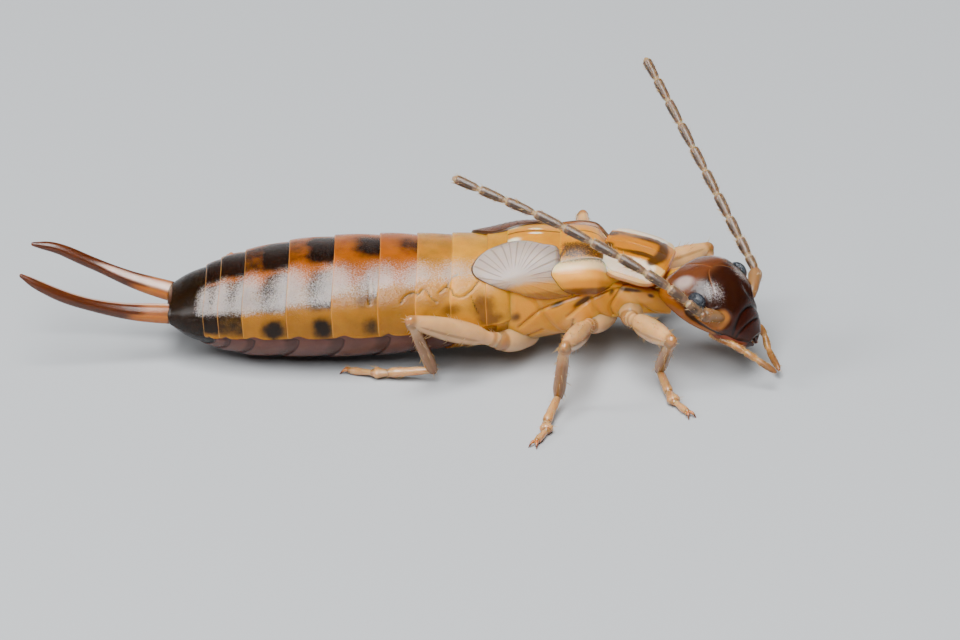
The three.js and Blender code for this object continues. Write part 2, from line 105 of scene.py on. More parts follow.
lens = bpy.data.cameras.new("lens")
lens.lens = 300
lens.sensor_width = 36
lens.clip_start = 0.01
lens.clip_end = 10
back = (0, -math.cos(LENS_HEIGHT) * LENS_DISTANCE, math.sin(LENS_HEIGHT) * LENS_DISTANCE)
camera = put(lens, "camera", np.add(LOOK_AT, back), LOOK_AT)
bpy.context.scene.camera = camera

LAMPS = {
    # place, width, height, power in watts
    "softbox_front": ((-12, -74, 141), 76, 175, 0.8),
    "softbox_left": ((-150, -42, 110), 46, 70, 0.22),
    "softbox_back": ((60, 190, 34), 220, 50, 0.04),
}
for name, (place, width, height, power) in LAMPS.items():
    lamp = bpy.data.lights.new(name, "AREA")
    lamp.shape = "RECTANGLE"
    lamp.size = width * 0.001
    lamp.size_y = height * 0.001
    lamp.energy = power
    put(lamp, name, place, (0, 0, 1))

world = bpy.data.worlds.new("room")
world.use_nodes = True
world.node_tree.nodes["Background"].inputs["Color"].default_value = colour("#d5dde4")
world.node_tree.nodes["Background"].inputs["Strength"].default_value = 0.05
bpy.context.scene.world = world

bpy.ops.mesh.primitive_plane_add(size=2, location=(0, 0, TABLE_LEVEL))
table = bpy.context.object
table.name = "table_top"
# Uncoated grey card: it shows a soft shade under the animal and no reflection.
matt_card = bpy.data.materials.new("matt_card")
matt_card.use_nodes = True
matt_card.node_tree.nodes["Principled BSDF"].inputs["Base Color"].default_value = colour("#a6a9ac")
matt_card.node_tree.nodes["Principled BSDF"].inputs["Roughness"].default_value = 0.6
table.data.materials.append(matt_card)


# The abdomen: ten hard rings of tanned cuticle that slide into each other like a telescope, each with a
# pale hind edge over the next. Below a line low on the side, belly plates overlap in the same way.
TRUNK = np.array(
    [
        # place, half width, half height, height of the axis, bend to the left
        [-4.36, 0.66, 0.27, 0.93, 0],
        [-4.11, 0.85, 0.44, 0.92, 0],
        [-3.7, 1.02, 0.64, 0.93, 0],
        [-3.42, 1.12, 0.76, 0.95, 0],
        [-2.96, 1.24, 0.88, 0.975, 0],
        [-2.13, 1.37, 0.985, 1.055, 0],
        [-1.28, 1.43, 1.03, 1.105, 0],
        [-0.42, 1.43, 1.035, 1.14, 0],
        [0.94, 1.33, 0.98, 1.22, 0],
        [1.59, 1.26, 0.98, 1.27, 0],
        [2.21, 1.13, 1.04, 1.39, 0],
        [2.96, 1.04, 0.99, 1.46, 0],
        [3.72, 0.93, 0.86, 1.5, 0],
        [4.0, 0.82, 0.68, 1.46, 0],
        [4.47, 0.74, 0.52, 1.4, -0.03],
        [5.05, 0.52, 0.42, 1.3, -0.14],
    ]
)
TRUNK_SQUARENESS = 0.93
# The rings' hind edges from the tail forwards, and the front edge of the first ring.
RING_EDGES = [-4.36, -3.7, -3.42, -2.96, -2.13, -1.28, -0.42, 0.28, 0.94, 1.59, 2.05]
# Where the back plates meet the belly plates, in degrees above the side.
SIDE_LINE = -9.8


def through(rows):
    """A smooth rule through rows of numbers, the first of which is the place where they hold."""
    rows = np.asarray(rows, float)
    places, values = rows[:, 0], rows[:, 1:]
    slopes = np.gradient(values, places, axis=0)

    def read(x):
        x = np.clip(np.asarray(x, float), places[0], places[-1])
        i = np.clip(np.searchsorted(places, x, side="right") - 1, 0, len(places) - 2)
        span = (places[i + 1] - places[i])[..., None]
        t = (x - places[i])[..., None] / span
        near = (1 + 2 * t) * (1 - t) ** 2 * values[i] + t * (1 - t) ** 2 * span * slopes[i]
        far = t * t * (3 - 2 * t) * values[i + 1] - t * t * (1 - t) * span * slopes[i + 1]
        return np.moveaxis(near + far, -1, 0)

    return read


def rise(x, start, end):
    """Goes smoothly from 0 at start to 1 at end."""
    t = np.clip((x - start) / (end - start), 0, 1)
    return t * t * (3 - 2 * t)


def fall(x, start, end):
    """Goes smoothly from 1 at start to 0 at end."""
    return rise(-x, -end, -start)


def hump(x, middle, width):
    """Is 1 at middle and falls smoothly to nothing about two widths away."""
    return np.exp(-(((x - middle) / width) ** 2))


def boxy(wave, power):
    """A sine or cosine that makes a rounder or a squarer section."""
    return np.sign(wave) * np.abs(wave) ** power


trunk_at = through(TRUNK)


def on_trunk(x, around, out):
    """Points on the trunk's skin. Around is 0 on the right side, 90 degrees on the back."""
    width, height, axis, bend = trunk_at(x)
    turn = np.radians(around)
    across = boxy(np.cos(turn), TRUNK_SQUARENESS)
    up = boxy(np.sin(turn), TRUNK_SQUARENESS)
    x, across, up, out = np.broadcast_arrays(x, across, up, out)
    return np.stack([x, bend - across * (width + out), axis + up * (height + out)], -1)


def shell(name, rows, masks=None, hairy=False):
    """A closed skin from loops of points in millimetres, drawn to a point at both ends.

    masks holds a number for each point, by name, for the material to read. A hairy skin also
    holds the way its hairs lie."""
    count, around = rows.shape[:2]
    poles = np.array([rows[0].mean(0), rows[-1].mean(0)])
    points = metres(np.concatenate([rows.reshape(-1, 3), poles]))
    here = np.arange(count * around).reshape(count, around)
    beside = np.roll(here, -1, axis=1)
    quads = np.stack([here[:-1], beside[:-1], beside[1:], here[1:]], -1).reshape(-1, 4)
    start = np.stack([beside[0], here[0], np.full(around, count * around)], -1)
    end = np.stack([here[-1], beside[-1], np.full(around, count * around + 1)], -1)
    mesh = bpy.data.meshes.new(name)
    mesh.from_pydata(points.tolist(), [], quads.tolist() + start.tolist() + end.tolist())
    if hairy:
        ways = np.gradient(rows.mean(1), axis=0)
        ways /= np.linalg.norm(ways, axis=1)[:, None]
        ways = np.concatenate([np.repeat(ways, around, axis=0), ways[:1], ways[-1:]])
        mesh.attributes.new("lie", "FLOAT_VECTOR", "POINT").data.foreach_set("vector", ways.ravel())
    for label, values in (masks or {}).items():
        values = np.broadcast_to(values, (count, around))
        flat = np.concatenate([values.ravel(), [values[0].mean(), values[-1].mean()]])
        mesh.attributes.new(label, "FLOAT", "POINT").data.foreach_set("value", flat.astype(np.float32))
    return closed(mesh, name)


def closed(mesh, name):
    """An object of a mesh whose faces all point outwards and shade smoothly."""
    work = bmesh.new()
    work.from_mesh(mesh)
    bmesh.ops.recalc_face_normals(work, faces=work.faces)
    if work.calc_volume(signed=True) < 0:
        bmesh.ops.reverse_faces(work, faces=work.faces)
    work.to_mesh(mesh)
    work.free()
    mesh.shade_smooth()
    thing = bpy.data.objects.new(name, mesh)
    bpy.context.scene.collection.objects.link(thing)
    return thing


def finished(piece, material, nodes=()):
    """Gives a piece its material and its body, and hides the solids that it stands for."""
    piece.data.materials.clear()
    piece.data.materials.append(material)
    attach(piece, "root")
    if nodes:
        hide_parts(*nodes)


CLOUDS_PER_METRE = 4500.0
TONES_PER_METRE = 2200.0
SPECKS_PER_METRE = 36000.0
GRAINS_PER_PIT = 2.2
CHITIN_IOR = 1.52


def cuticle(name, ground, layers, rough, pits, glow, grain, wobble=0.35, mottle=0.1, gloss=0.4):
    """Insect cuticle: coloured layers in a clear hard skin over soft tissue that light passes through.

    layers are (mask, colour, share) from the lowest up, with a fourth entry where one is sprayed on in
    specks of 0.03 mm. wobble drifts their edges over 0.2 mm, and mottle the tone over 0.5 mm. pits is
    the depth of the fine punctures and grain their spacing, in micrometres, and glow is how far light
    travels inside, in millimetres."""
    material = bpy.data.materials.new(name)
    material.use_nodes = True
    tree = material.node_tree
    shader = tree.nodes["Principled BSDF"]
    place = add(tree, "ShaderNodeTexCoord").outputs["Object"]
    cloud, shade, spray, fine = (
        add(
            tree,
            "ShaderNodeTexNoise",
            {"Vector": place, "Scale": scale, "Detail": detail, "Roughness": uneven},
        )
        for scale, detail, uneven in (
            (CLOUDS_PER_METRE, 4.0, 0.6),
            (TONES_PER_METRE, 3.0, 0.55),
            (SPECKS_PER_METRE, 3.0, 0.7),
            (GRAINS_PER_PIT * 1e6 / grain, 2.0, 0.6),
        )
    )
    tint = colour(ground)
    # Each layer's mask is stirred with noise where it is above nothing, hardened, and laid over the rest.
    for mask, code, share, *sprayed in layers:
        raw = add(tree, "ShaderNodeAttribute", attribute_name=mask).outputs["Fac"]
        noise, amount, soft = (spray, 2.0, 0.12) if sprayed else (cloud, wobble, 0.22)
        stray = add(
            tree,
            "ShaderNodeMath",
            {0: noise.outputs["Fac"], 1: amount, 2: -amount / 2},
            operation="MULTIPLY_ADD",
        )
        near = add(tree, "ShaderNodeMath", {0: raw, 1: 3.0}, operation="MULTIPLY", use_clamp=True)
        drift = add(tree, "ShaderNodeMath", {0: stray.outputs[0], 1: near.outputs[0]}, operation="MULTIPLY")
        drifted = add(tree, "ShaderNodeMath", {0: raw, 1: drift.outputs[0]}, operation="ADD")
        laid = add(
            tree,
            "ShaderNodeMapRange",
            {"Value": drifted.outputs[0], "From Min": soft, "From Max": 1 - soft, "To Max": share},
            interpolation_type="SMOOTHSTEP",
        )
        mixed = add(
            tree, "ShaderNodeMix", {0: laid.outputs["Result"], 6: tint, 7: colour(code)}, data_type="RGBA"
        )
        tint = mixed.outputs[2]
    tones = {"From Min": 0.3, "From Max": 0.7, "To Min": 1 - mottle, "To Max": 1 + mottle}
    patch = add(tree, "ShaderNodeMapRange", {"Value": shade.outputs["Fac"], **tones})
    toned = add(tree, "ShaderNodeHueSaturation", {"Value": patch.outputs["Result"], "Color": tint})
    dots = add(tree, "ShaderNodeTexVoronoi", {"Vector": place, "Scale": 1e6 / grain})
    dent = add(
        tree, "ShaderNodeMapRange", {"Value": dots.outputs["Distance"], "From Min": 0.1, "From Max": 0.45}
    )
    both = add(
        tree,
        "ShaderNodeMath",
        {0: fine.outputs["Fac"], 1: 0.7, 2: dent.outputs["Result"]},
        operation="MULTIPLY_ADD",
    )
    bump = add(
        tree, "ShaderNodeBump", {"Strength": 1.0, "Distance": pits * 1e-6, "Height": both.outputs[0]}
    )
    tree.links.new(toned.outputs["Color"], shader.inputs["Base Color"])
    tree.links.new(bump.outputs["Normal"], shader.inputs["Normal"])
    for label, value in {
        "Roughness": rough,
        "IOR": CHITIN_IOR,
        "Specular IOR Level": gloss,
        "Subsurface Weight": 1.0 if glow else 0.0,
        "Subsurface Radius": (1.0, 0.45, 0.18),
        "Subsurface Scale": glow * 0.001,
    }.items():
        shader.inputs[label].default_value = value
    return material


def way_through(joints, spacing):
    """Evenly spaced points on a smooth line through joints, and the length of the line."""
    joints = np.asarray(joints, float)
    ends = np.array([2 * joints[0] - joints[1], *joints, 2 * joints[-1] - joints[-2]])
    parts = []
    for p0, p1, p2, p3 in zip(ends[:-3], ends[1:-2], ends[2:-1], ends[3:]):
        d0, d1, d2 = (np.linalg.norm(b - a) ** 0.5 for a, b in ((p0, p1), (p1, p2), (p2, p3)))
        first = ((p1 - p0) / d0 - (p2 - p0) / (d0 + d1) + (p2 - p1) / d1) * d1
        last = ((p2 - p1) / d1 - (p3 - p1) / (d1 + d2) + (p3 - p2) / d2) * d1
        t = np.linspace(0, 1, 50)[:, None]
        bend = (2 * t**3 - 3 * t**2 + 1) * p1 + (t**3 - 2 * t**2 + t) * first
        parts.append(bend + (3 * t**2 - 2 * t**3) * p2 + (t**3 - t**2) * last)
    line = np.concatenate(parts)
    walked = np.concatenate([[0], np.cumsum(np.linalg.norm(np.diff(line, axis=0), axis=1))])
    wanted = np.linspace(0, walked[-1], max(3, int(walked[-1] / spacing)))
    return np.stack([np.interp(wanted, walked, line[:, k]) for k in range(3)], -1), walked[-1]


def off_crease(x, angle, corners):
    """How far each point of the side is from a line, in millimetres on the skin."""
    line, _ = way_through([(px, math.radians(pa), 0) for px, pa in corners], 0.03)
    x, angle = np.broadcast_arrays(x, np.radians(angle))
    far = np.full(x.shape, np.inf)
    for px, pa, _ in line:
        far = np.minimum(far, np.hypot(x - px, angle - pa))
    return far


def creased(x, angle, lines, width):
    """How far into any of some lines on the side each point lies: 1 at the bottom of one."""
    return np.max([hump(off_crease(x, angle, corners), 0, width) for corners in lines], axis=0)


WRINKLES = [
    # points on the flank, each a place and an angle
    [(0.02, 24), (0.1, 30), (0.25, 33), (0.33, 31)],
    [(0.33, 31), (0.45, 36), (0.6, 26), (0.68, 22)],
    [(0.74, 32), (0.86, 37), (0.95, 34), (1.0, 28)],
    [(0.86, 37), (0.95, 46), (1.05, 49)],
    [(1.0, 28), (1.15, 25), (1.32, 30), (1.45, 40)],
    [(-0.62, 52), (-0.58, 40), (-0.56, 24)],
    [(-0.5, 46), (-0.47, 34)],
    [(1.34, 24), (1.4, 14), (1.46, 6)],
]
# Spans of the skin's columns in degrees, with their spacing: closer together where plates meet and fold.
COLUMN_SPANS = [(-88, -14, 2.4), (-14, -5, 0.75), (-5, 16, 2.0), (16, 66, 1.15), (66, 90, 1.9)]
EDGE_STEPS = [0.0, 0.006, 0.014, 0.024, 0.036, 0.055]
side_columns = np.concatenate([np.arange(*span) for span in COLUMN_SPANS])
columns = np.concatenate([side_columns, 180 - side_columns[::-1]])
level = np.degrees(np.arcsin(np.sin(np.radians(columns))))
places, hinds, fronts = [], [], []
for hind, front in zip(RING_EDGES[:-1], RING_EDGES[1:]):
    length = front - hind
    inner = np.linspace(0.08, length - 0.05, int(length / 0.034))
    for step in [*EDGE_STEPS, *inner, length - 0.02, length]:
        places.append(hind + step)
        hinds.append(hind)
        fronts.append(front)
places, hinds, fronts = (np.array(v)[:, None] for v in (places, hinds, fronts))
share = (places - hinds) / (fronts - hinds)
scallop = 4 * hump(share, 0.2, 0.17) * fall(places, 1.2, 1.9)
side_line = SIDE_LINE - 9 * fall(places, -4.2, -2.9) + scallop
over = level[None, :]
below = over - side_line
belly = fall(below, -0.6, 0.4)
slant = 0.19 * fall(below, -4, 2) - 0.36 * fall(below, -60, -2)
slant = slant * fall(places, 1.7, 2.0) * rise(places, -4.36, -3.9)
edge_lift = 0.024 * (1 - 1.45 * share) * (1 - 0.2 * belly)
round_edge = -0.012 * hump(places - hinds, 0, 0.007)
swell = 0.01 * np.sin(np.pi * np.clip(share, 0, 1)) ** 0.8
wrinkles = creased(places, over, WRINKLES, 0.022)
step_in = -0.03 * belly + 0.012 * hump(below, 0.9, 1.1)
under_thorax = 0.035 * rise(places, 1.94, 2.05)
out = edge_lift + round_edge + swell + step_in - 0.022 * wrinkles - under_thorax
bow = -0.045 * hump(over, 22, 30) * fall(places, 1.5, 1.9)
rows = on_trunk(places + slant + bow, columns[None, :], out)


def closing(loop, steps, middle=None):
    """Loops that close an open end round its middle. Each step is a size and a way forward."""
    middle = loop.mean(0) if middle is None else middle
    return np.array([middle + (loop - middle) * size + np.array([ahead, 0, 0]) for size, ahead in steps])


tail_middle = np.array([TRUNK[0, 0], 0, TRUNK[0, 3]])
tail_loops = closing(rows[0], [(0.3, -0.07), (0.7, -0.06), (0.9, -0.035)], tail_middle)
rows = np.concatenate([tail_loops, rows, closing(rows[-1], [(0.8, 0.02), (0.4, 0.02)])])

SMUDGES = [
    # place, angle above the side, half length, half height, slant in degrees, strength
    [0.95, 12, 0.24, 0.15, 0, 0.75],
    [1.56, 12, 0.25, 0.34, 20, 0.85],
    [1.72, -4, 0.3, 0.1, 0, 0.45],
]
FLANK_RADIUS = 0.98


def side_mark(x, angle, place, height, length, width, slant, strength):
    """How much a spot on the side covers each point, measured in millimetres on the skin."""
    along = x - place
    up = np.radians(angle - height) * FLANK_RADIUS
    turn = math.radians(slant)
    first = along * math.cos(turn) + up * math.sin(turn)
    second = up * math.cos(turn) - along * math.sin(turn)
    return strength * np.exp(-((first / length) ** 2) - (second / width) ** 2)


# How strong each marking is on the ten rings, from the first at the thorax to the last at the tail.
# The widths, places and starts are in degrees round the body, and the spot's share in ring lengths.
RINGS = np.arange(1, 11)
DARK_TOP = [0.1, 0.2, 0.35, 0.65, 0.8, 0.95, 1, 1, 1, 1]
DARK_TOP_WIDTH = [0, 0, 0, 2, 6, 11, 13, 13, 13, 13]
DARK_FLANK = [0, 0, 0.05, 0.2, 0.55, 0.85, 1, 1, 1, 1]
# Strength, lower start and middle gap of the painted highlight, a grey-white band sprayed along the flank.
PAINTED_HIGHLIGHT = [0.7, 0.85, 0.9, 0.95, 0.98, 1, 1, 1, 0.95, 0.85]
PAINTED_HIGHLIGHT_FROM = [47, 45, 43, 39, 33, 25, 20, 20, 20, 20]
PAINTED_HIGHLIGHT_GAP = [0.1, 0.3, 0.4, 0.45, 0.55, 0.6, 0.62, 0.5, 0.4, 0.2]
DARK_HIND = [0, 0, 0, 0, 0.05, 0.15, 0.35, 0.7, 0.9, 1]
DARK_LOW = [0, 0, 0, 0, 0, 0.05, 0.2, 0.65, 0.9, 1]
RUST = [0, 0.1, 0.35, 0.75, 1, 1, 1, 1, 0.8, 0]
SPOTS = [0, 0, 0, 0.12, 0.65, 0.88, 0.92, 0.4, 0, 0]
SPOT_SHARE = [0.7, 0.7, 0.7, 0.8, 0.86, 0.8, 0.7, 0.7, 0.7, 0.7]
GOLD = [1, 0.85, 0.45, 0.1, 0, 0, 0, 0, 0, 0]
TANNED_BELOW = [0.1, 0.3, 0.75, 1, 1, 1, 1, 1, 1, 1]
SPOT_HALF_LENGTH = 0.26
SPOT_HALF_HEIGHT = 14
ring = 11 - np.searchsorted(RING_EDGES, places, side="right")


def by_ring(values):
    """The value that holds at each place, of ten for the ten rings."""
    return np.interp(ring, RINGS, values)


off_middle = np.abs(columns - 90)[None, :]
front_part = rise(share, 0.26 - 0.3 * by_ring(DARK_HIND), 0.72)
front_part = np.maximum(front_part, by_ring(DARK_HIND))
off_band = np.maximum(off_middle - by_ring(DARK_TOP_WIDTH), 0)
top = hump(off_band, 0, 15) * by_ring(DARK_TOP) * (0.45 + 0.55 * front_part)
shoulder = hump(off_middle, 37, 13) * by_ring(DARK_FLANK) * front_part * 0.8
flank = rise(over, 8, 30) * fall(over, 44, 64) * by_ring(DARK_FLANK) * (0.4 + 0.6 * front_part)
low_flank = rise(over, -20, 2) * fall(over, 56, 72) * by_ring(DARK_LOW)
spot_along = (share - by_ring(SPOT_SHARE)) * (fronts - hinds) / SPOT_HALF_LENGTH
spot = np.exp(-(spot_along**2 + ((over - 1.0) / SPOT_HALF_HEIGHT) ** 2)) * by_ring(SPOTS)
tail_end = fall(places, -3.78, -3.62)
smudge = sum(side_mark(places, over, *mark) for mark in SMUDGES)
# The wrinkles are darkened as well as sunk: painted shade in their grooves.
dark = 0.75 * wrinkles
for mark in (top, shoulder, flank, low_flank, spot, tail_end):
    dark = np.maximum(dark, np.clip(mark, 0, 1))
rust = rise(over, 34, 52) * by_ring(RUST)
# The painted highlight: a grey-white band along the flank, fainter in the middle of each ring.
thin = by_ring(PAINTED_HIGHLIGHT_GAP) * hump(share, 0.54, 0.3) * (0.45 + 0.55 * rise(over, 24, 42))
bloom = rise(over - by_ring(PAINTED_HIGHLIGHT_FROM), -9, 9) * fall(over, 46, 82) * by_ring(PAINTED_HIGHLIGHT) * (1 - thin)
bloom = np.where(ring == 10, bloom * rise(share, 0.6, 1.0), bloom)
gold = by_ring(GOLD) * rise(over, -25, -5)
edge = (1 - rise(places - hinds, 0.007, 0.018)) * (1 - belly) * (1 - 0.7 * tail_end)
plate_edge = (1 - rise(places - hinds, 0.02, 0.05)) * belly
plate_front = rise(share, 0.45, 1.0) * belly
tanned_below = by_ring(TANNED_BELOW)


def ended(masks, shape, hind_loops):
    """Masks of the open skin carried on over the loops that close its hind end, and two in front."""
    whole = {}
    for name, mask in masks.items():
        mask = np.broadcast_to(mask, shape)
        whole[name] = np.concatenate([mask[:1]] * hind_loops + [mask] + [mask[-1:]] * 2)
    return whole


abdomen_masks = {
    "dark": dark,
    "rust": rust,
    "edge": edge,
    "bloom": bloom,
    "gold": gold,
    "smudge": smudge,
    "belly": belly * tanned_below,
    "plate_edge": plate_edge * tanned_below,
    "plate_front": plate_front * tanned_below,
}
abdomen = shell("abdomen", rows, ended(abdomen_masks, wrinkles.shape, 3))
# Tanned cuticle: amber where thin, rust to brown-black where tanned, with a fine pitting that breaks the
# sheen into grains. The pits are drawn 45 micrometres apart, about twice the real spacing, to show. The
# grey-white band sprayed along each flank is a painted highlight, and the darkened wrinkles are painted
# shade.
tanned_cuticle = cuticle(
    "tanned_cuticle",
    "#8a5a12",
    [
        ("gold", "#bc821e", 0.9),
        ("rust", "#8c4604", 0.95),
        ("belly", "#5a352b", 1.0),
        ("plate_front", "#3c211a", 0.7),
        ("smudge", "#53300e", 0.8),
        ("dark", "#0d0502", 0.98),
        ("plate_edge", "#2a1411", 0.8),
        ("bloom", "#aca29c", 0.66, "sprayed"),
        ("edge", "#b8823c", 0.55),
    ],
    rough=0.24,
    gloss=0.22,
    pits=4.0,
    glow=0.14,
    wobble=0.55,
    grain=30.0,
    mottle=0.17,
)
finished(abdomen, tanned_cuticle, [f"abdomen_{n}" for n in range(1, 11)])


# The thorax: three rings under the shield and the wing pads. Their sides are plates of soft amber
# cuticle, folded where the legs come out, with dark seams between the plates.
THORAX_EDGES = [1.97, 2.96, 3.95, 5.03]
SIDE_MARKS = [
    # place, angle above the side, half length, half height, slant in degrees, strength
    [3.36, -1.5, 0.22, 0.07, 22, 1.0],
    [2.9, -1.5, 0.19, 0.05, 16, 0.8],
    [4.26, 16, 0.27, 0.085, 6, 0.9],
    [3.92, 9, 0.06, 0.13, -20, 0.7],
    [4.66, 10, 0.08, 0.11, 30, 0.8],
    [2.12, -8, 0.15, 0.12, 0, 0.7],
    [2.35, -36, 0.1, 0.06, 10, 0.4],
    [2.97, 54, 0.03, 0.24, -28, 0.8],
]
PALE_MARKS = [[4.4, 6, 0.36, 0.26, 0, 1.0], [3.2, -22, 0.3, 0.22, 20, 0.8]]
# Small cream marks on the back that are painted highlights.
PAINTED_GLINT_MARKS = [[2.5, 86, 0.16, 0.03, 0, 1.0], [2.08, 78, 0.2, 0.09, 0, 0.7]]
CREASES = [
    # points on the side, each a place and an angle
    [(2.2, -20), (2.55, -6), (2.95, 1), (3.3, 5)],
    [(3.1, -16), (3.32, -6), (3.75, 6), (4.05, 16)],
    [(3.95, -30), (3.9, -12), (4.0, 4), (4.15, 24)],
    [(4.15, 24), (4.45, 34), (4.75, 26), (4.95, 10)],
    [(2.95, -62), (3.15, -40), (3.2, -22)],
    [(2.1, -55), (2.3, -38), (2.6, -30)],
]
# Place and angle of the fold over each hip, and the angle where the speckled band on the back ends.
HIP_FOLDS = [(2.42, -30), (3.35, -28), (4.25, -30)]
SPECKLE_TOP = 71
thorax_places, thorax_share = [], []
for hind, front in zip(THORAX_EDGES[:-1], THORAX_EDGES[1:]):
    for step in [0.004, 0.01, 0.02, *np.linspace(0.04, front - hind - 0.02, 44), front - hind]:
        thorax_places.append(hind + step)
        thorax_share.append(step / (front - hind))
thorax_places = np.array(thorax_places)[:, None]
thorax_share = np.array(thorax_share)[:, None]
thorax_columns = np.arange(-90, 270, 1.2)
thorax_level = np.degrees(np.arcsin(np.sin(np.radians(thorax_columns))))[None, :]
seams = np.max([side_mark(thorax_places, thorax_level, *mark) for mark in SIDE_MARKS], axis=0)
groove = creased(thorax_places, thorax_level, CREASES, 0.035)
fold = 0
for place, angle in HIP_FOLDS:
    fold = fold + side_mark(thorax_places, thorax_level, place, angle, 0.34, 0.3, 24, 0.06)
    fold = fold - side_mark(thorax_places, thorax_level, place + 0.33, angle + 8, 0.05, 0.5, 28, 0.045)
lip = 0.02 * rise(thorax_level, 25, 50)
thorax_out = lip * (1 - 1.6 * thorax_share + 0.6 * np.sin(np.pi * thorax_share))
sunk = (1 - rise(thorax_places, 1.97, 2.13)) * (1 - rise(thorax_level, 25, 50))
under_shield = rise(thorax_places, 3.66, 3.9) * rise(thorax_level, 20, 36)
thorax_out = thorax_out - 0.045 * sunk + fold - 0.02 * seams - 0.045 * groove - 0.12 * under_shield
rows = on_trunk(thorax_places, thorax_columns[None, :], thorax_out)
hind_loops = closing(rows[0], [(0.4, -0.02), (0.85, -0.02)])
rows = np.concatenate([hind_loops, rows, closing(rows[-1], [(0.8, 0.03), (0.4, 0.03)])])
thorax_middle = np.abs(thorax_columns - 90)[None, :]
speckle = rise(thorax_level, 46, 54) * rise(SPECKLE_TOP - thorax_level, -5, 6)
speckle = speckle * rise(thorax_places, 2.85, 3.1) * fall(thorax_places, 3.8, 4.1)
back_line = 0.8 * hump(thorax_middle, 0, 1.3) * fall(thorax_places, 3.7, 3.9)
pale = sum(side_mark(thorax_places, thorax_level, *mark) for mark in PALE_MARKS)
glint = sum(side_mark(thorax_places, thorax_level, *mark) for mark in PAINTED_GLINT_MARKS)
# A grey band sprayed high on the side: a painted highlight.
thorax_painted_highlight = hump(thorax_level, 47, 7) * rise(thorax_places, 2.7, 2.95)
# Half the creases' depth goes into the seams mask: painted shade in their grooves.
thorax_masks = {
    "seams": np.maximum(np.maximum(seams, back_line), 0.5 * groove),
    "bloom": 0.6 * thorax_painted_highlight,
    "speckle": 0.75 * speckle,
    "pale": pale,
    "glint": glint,
    "under": fall(thorax_level, -60, -25),
}
thorax = shell("thorax", rows, ended(thorax_masks, seams.shape, 2))
# Soft cuticle: thin and hardly tanned, so that light comes through it golden, with a waxy sheen. The grey
# band sprayed high on the side and the small cream marks on the back are painted highlights.
soft_cuticle = cuticle(
    "soft_cuticle",
    "#c4821c",
    [
        ("pale", "#dca052", 0.8),
        ("under", "#b8813c", 0.8),
        ("glint", "#f4e2c4", 0.95),
        ("bloom", "#b4a89c", 0.6, "sprayed"),
        ("speckle", "#26140b", 0.92, "sprayed"),
        ("seams", "#3a1f0c", 0.9),
    ],
    rough=0.3,
    gloss=0.3,
    pits=1.6,
    glow=0.28,
    grain=40.0,
    mottle=0.12,
)
finished(thorax, soft_cuticle, ["metathorax", "mesothorax", "prothorax"])


# The shield over the front of the thorax: one thin crowned plate with round corners, a raised pale rim
# and a dark crescent inside it. It lies loose on the trunk and is held along its middle.
SHIELD = {"centre": (4.46, -0.05, 2.22), "yaw": -13, "pitch": 12, "roll": 0}
SHIELD_LENGTH = 1.32
SHIELD_WIDTH = 2.0
SHIELD_CROWN = 0.22
SHIELD_THICKNESS = 0.17
SHIELD_SQUARENESS = 3.4


def turned(centre, yaw, pitch, roll):
    """A rule that carries points from a piece's own axes to the animal's."""
    y, p, r = (math.radians(a) for a in (yaw, pitch, roll))
    about_z = np.array([[math.cos(y), -math.sin(y), 0], [math.sin(y), math.cos(y), 0], [0, 0, 1]])
    about_y = np.array([[math.cos(p), 0, math.sin(p)], [0, 1, 0], [-math.sin(p), 0, math.cos(p)]])
    about_x = np.array([[1, 0, 0], [0, math.cos(r), -math.sin(r)], [0, math.sin(r), math.cos(r)]])
    turn = about_z @ about_y @ about_x
    return lambda places: np.asarray(places, float) @ turn.T + np.array(centre)


def leaf(around, reaches):
    """Directions and reaches for a thin plate: out over the top, round the rim and back underneath."""
    turn = np.linspace(0, 2 * np.pi, around, endpoint=False)[None, :]
    reach = np.concatenate([reaches, [1.0], reaches[::-1]])[:, None]
    top = np.concatenate([np.ones(len(reaches)), [0.0], -np.ones(len(reaches))])[:, None]
    return turn, reach, top


REACHES = np.array([*np.linspace(0.02, 0.86, 42), *np.linspace(0.875, 0.985, 16), 0.993, 0.998])
turn, reach, top = leaf(240, REACHES)
bulge = np.abs(np.cos(turn)) ** SHIELD_SQUARENESS + np.abs(np.sin(turn)) ** SHIELD_SQUARENESS
squared = bulge ** (-1 / SHIELD_SQUARENESS)
along = reach * squared * np.cos(turn)
across = reach * squared * np.sin(turn)
half_thickness = SHIELD_THICKNESS / 2 * np.sqrt(np.clip(1 - reach**10, 0, 1))
off_line = np.abs(across)
on_top = top >= 0
margin = rise(off_line, 0.4, 0.52)
middle_groove = -0.014 * hump(across, 0, 0.02) * fall(reach, 0.7, 0.85)
humps = 0.035 * hump(off_line, 0.34, 0.2) * hump(along, 0.3, 0.4)
hollow = -0.03 * hump(off_line, 0.62, 0.1) * fall(along, 0.5, 0.9)
ripples = 0.006 * np.cos(26 * along + 5 * off_line) * hump(off_line, 0.5, 0.2) * hump(along, 0.5, 0.3)
relief = (top > 0) * (middle_groove + humps + hollow + ripples + 0.02 * hump(reach, 0.955, 0.02))
droop = SHIELD_CROWN * (across**2 + np.where(along > 0, 0.35, 0.2) * along**2)
depth = -SHIELD_THICKNESS / 2 + top * half_thickness + relief - droop
shield_rows = np.stack(
    np.broadcast_arrays(along * SHIELD_LENGTH / 2, across * SHIELD_WIDTH / 2, depth - 0.02), -1
)
front_bow = hump(along, 0.7 - 0.9 * off_line**2, 0.2) * fall(off_line, 0.44, 0.62)
arms = hump(off_line, 0.33, np.where(across > 0, 0.15, 0.09)) * fall(along, 0.6, 0.9)
arms = arms * (0.62 + 0.38 * rise(along, -0.5, 0.3))
rear_spot = hump(along, -0.85, 0.2) * hump(off_line, 0.26, 0.14)
crescent = np.maximum(np.maximum(front_bow, arms), rear_spot)
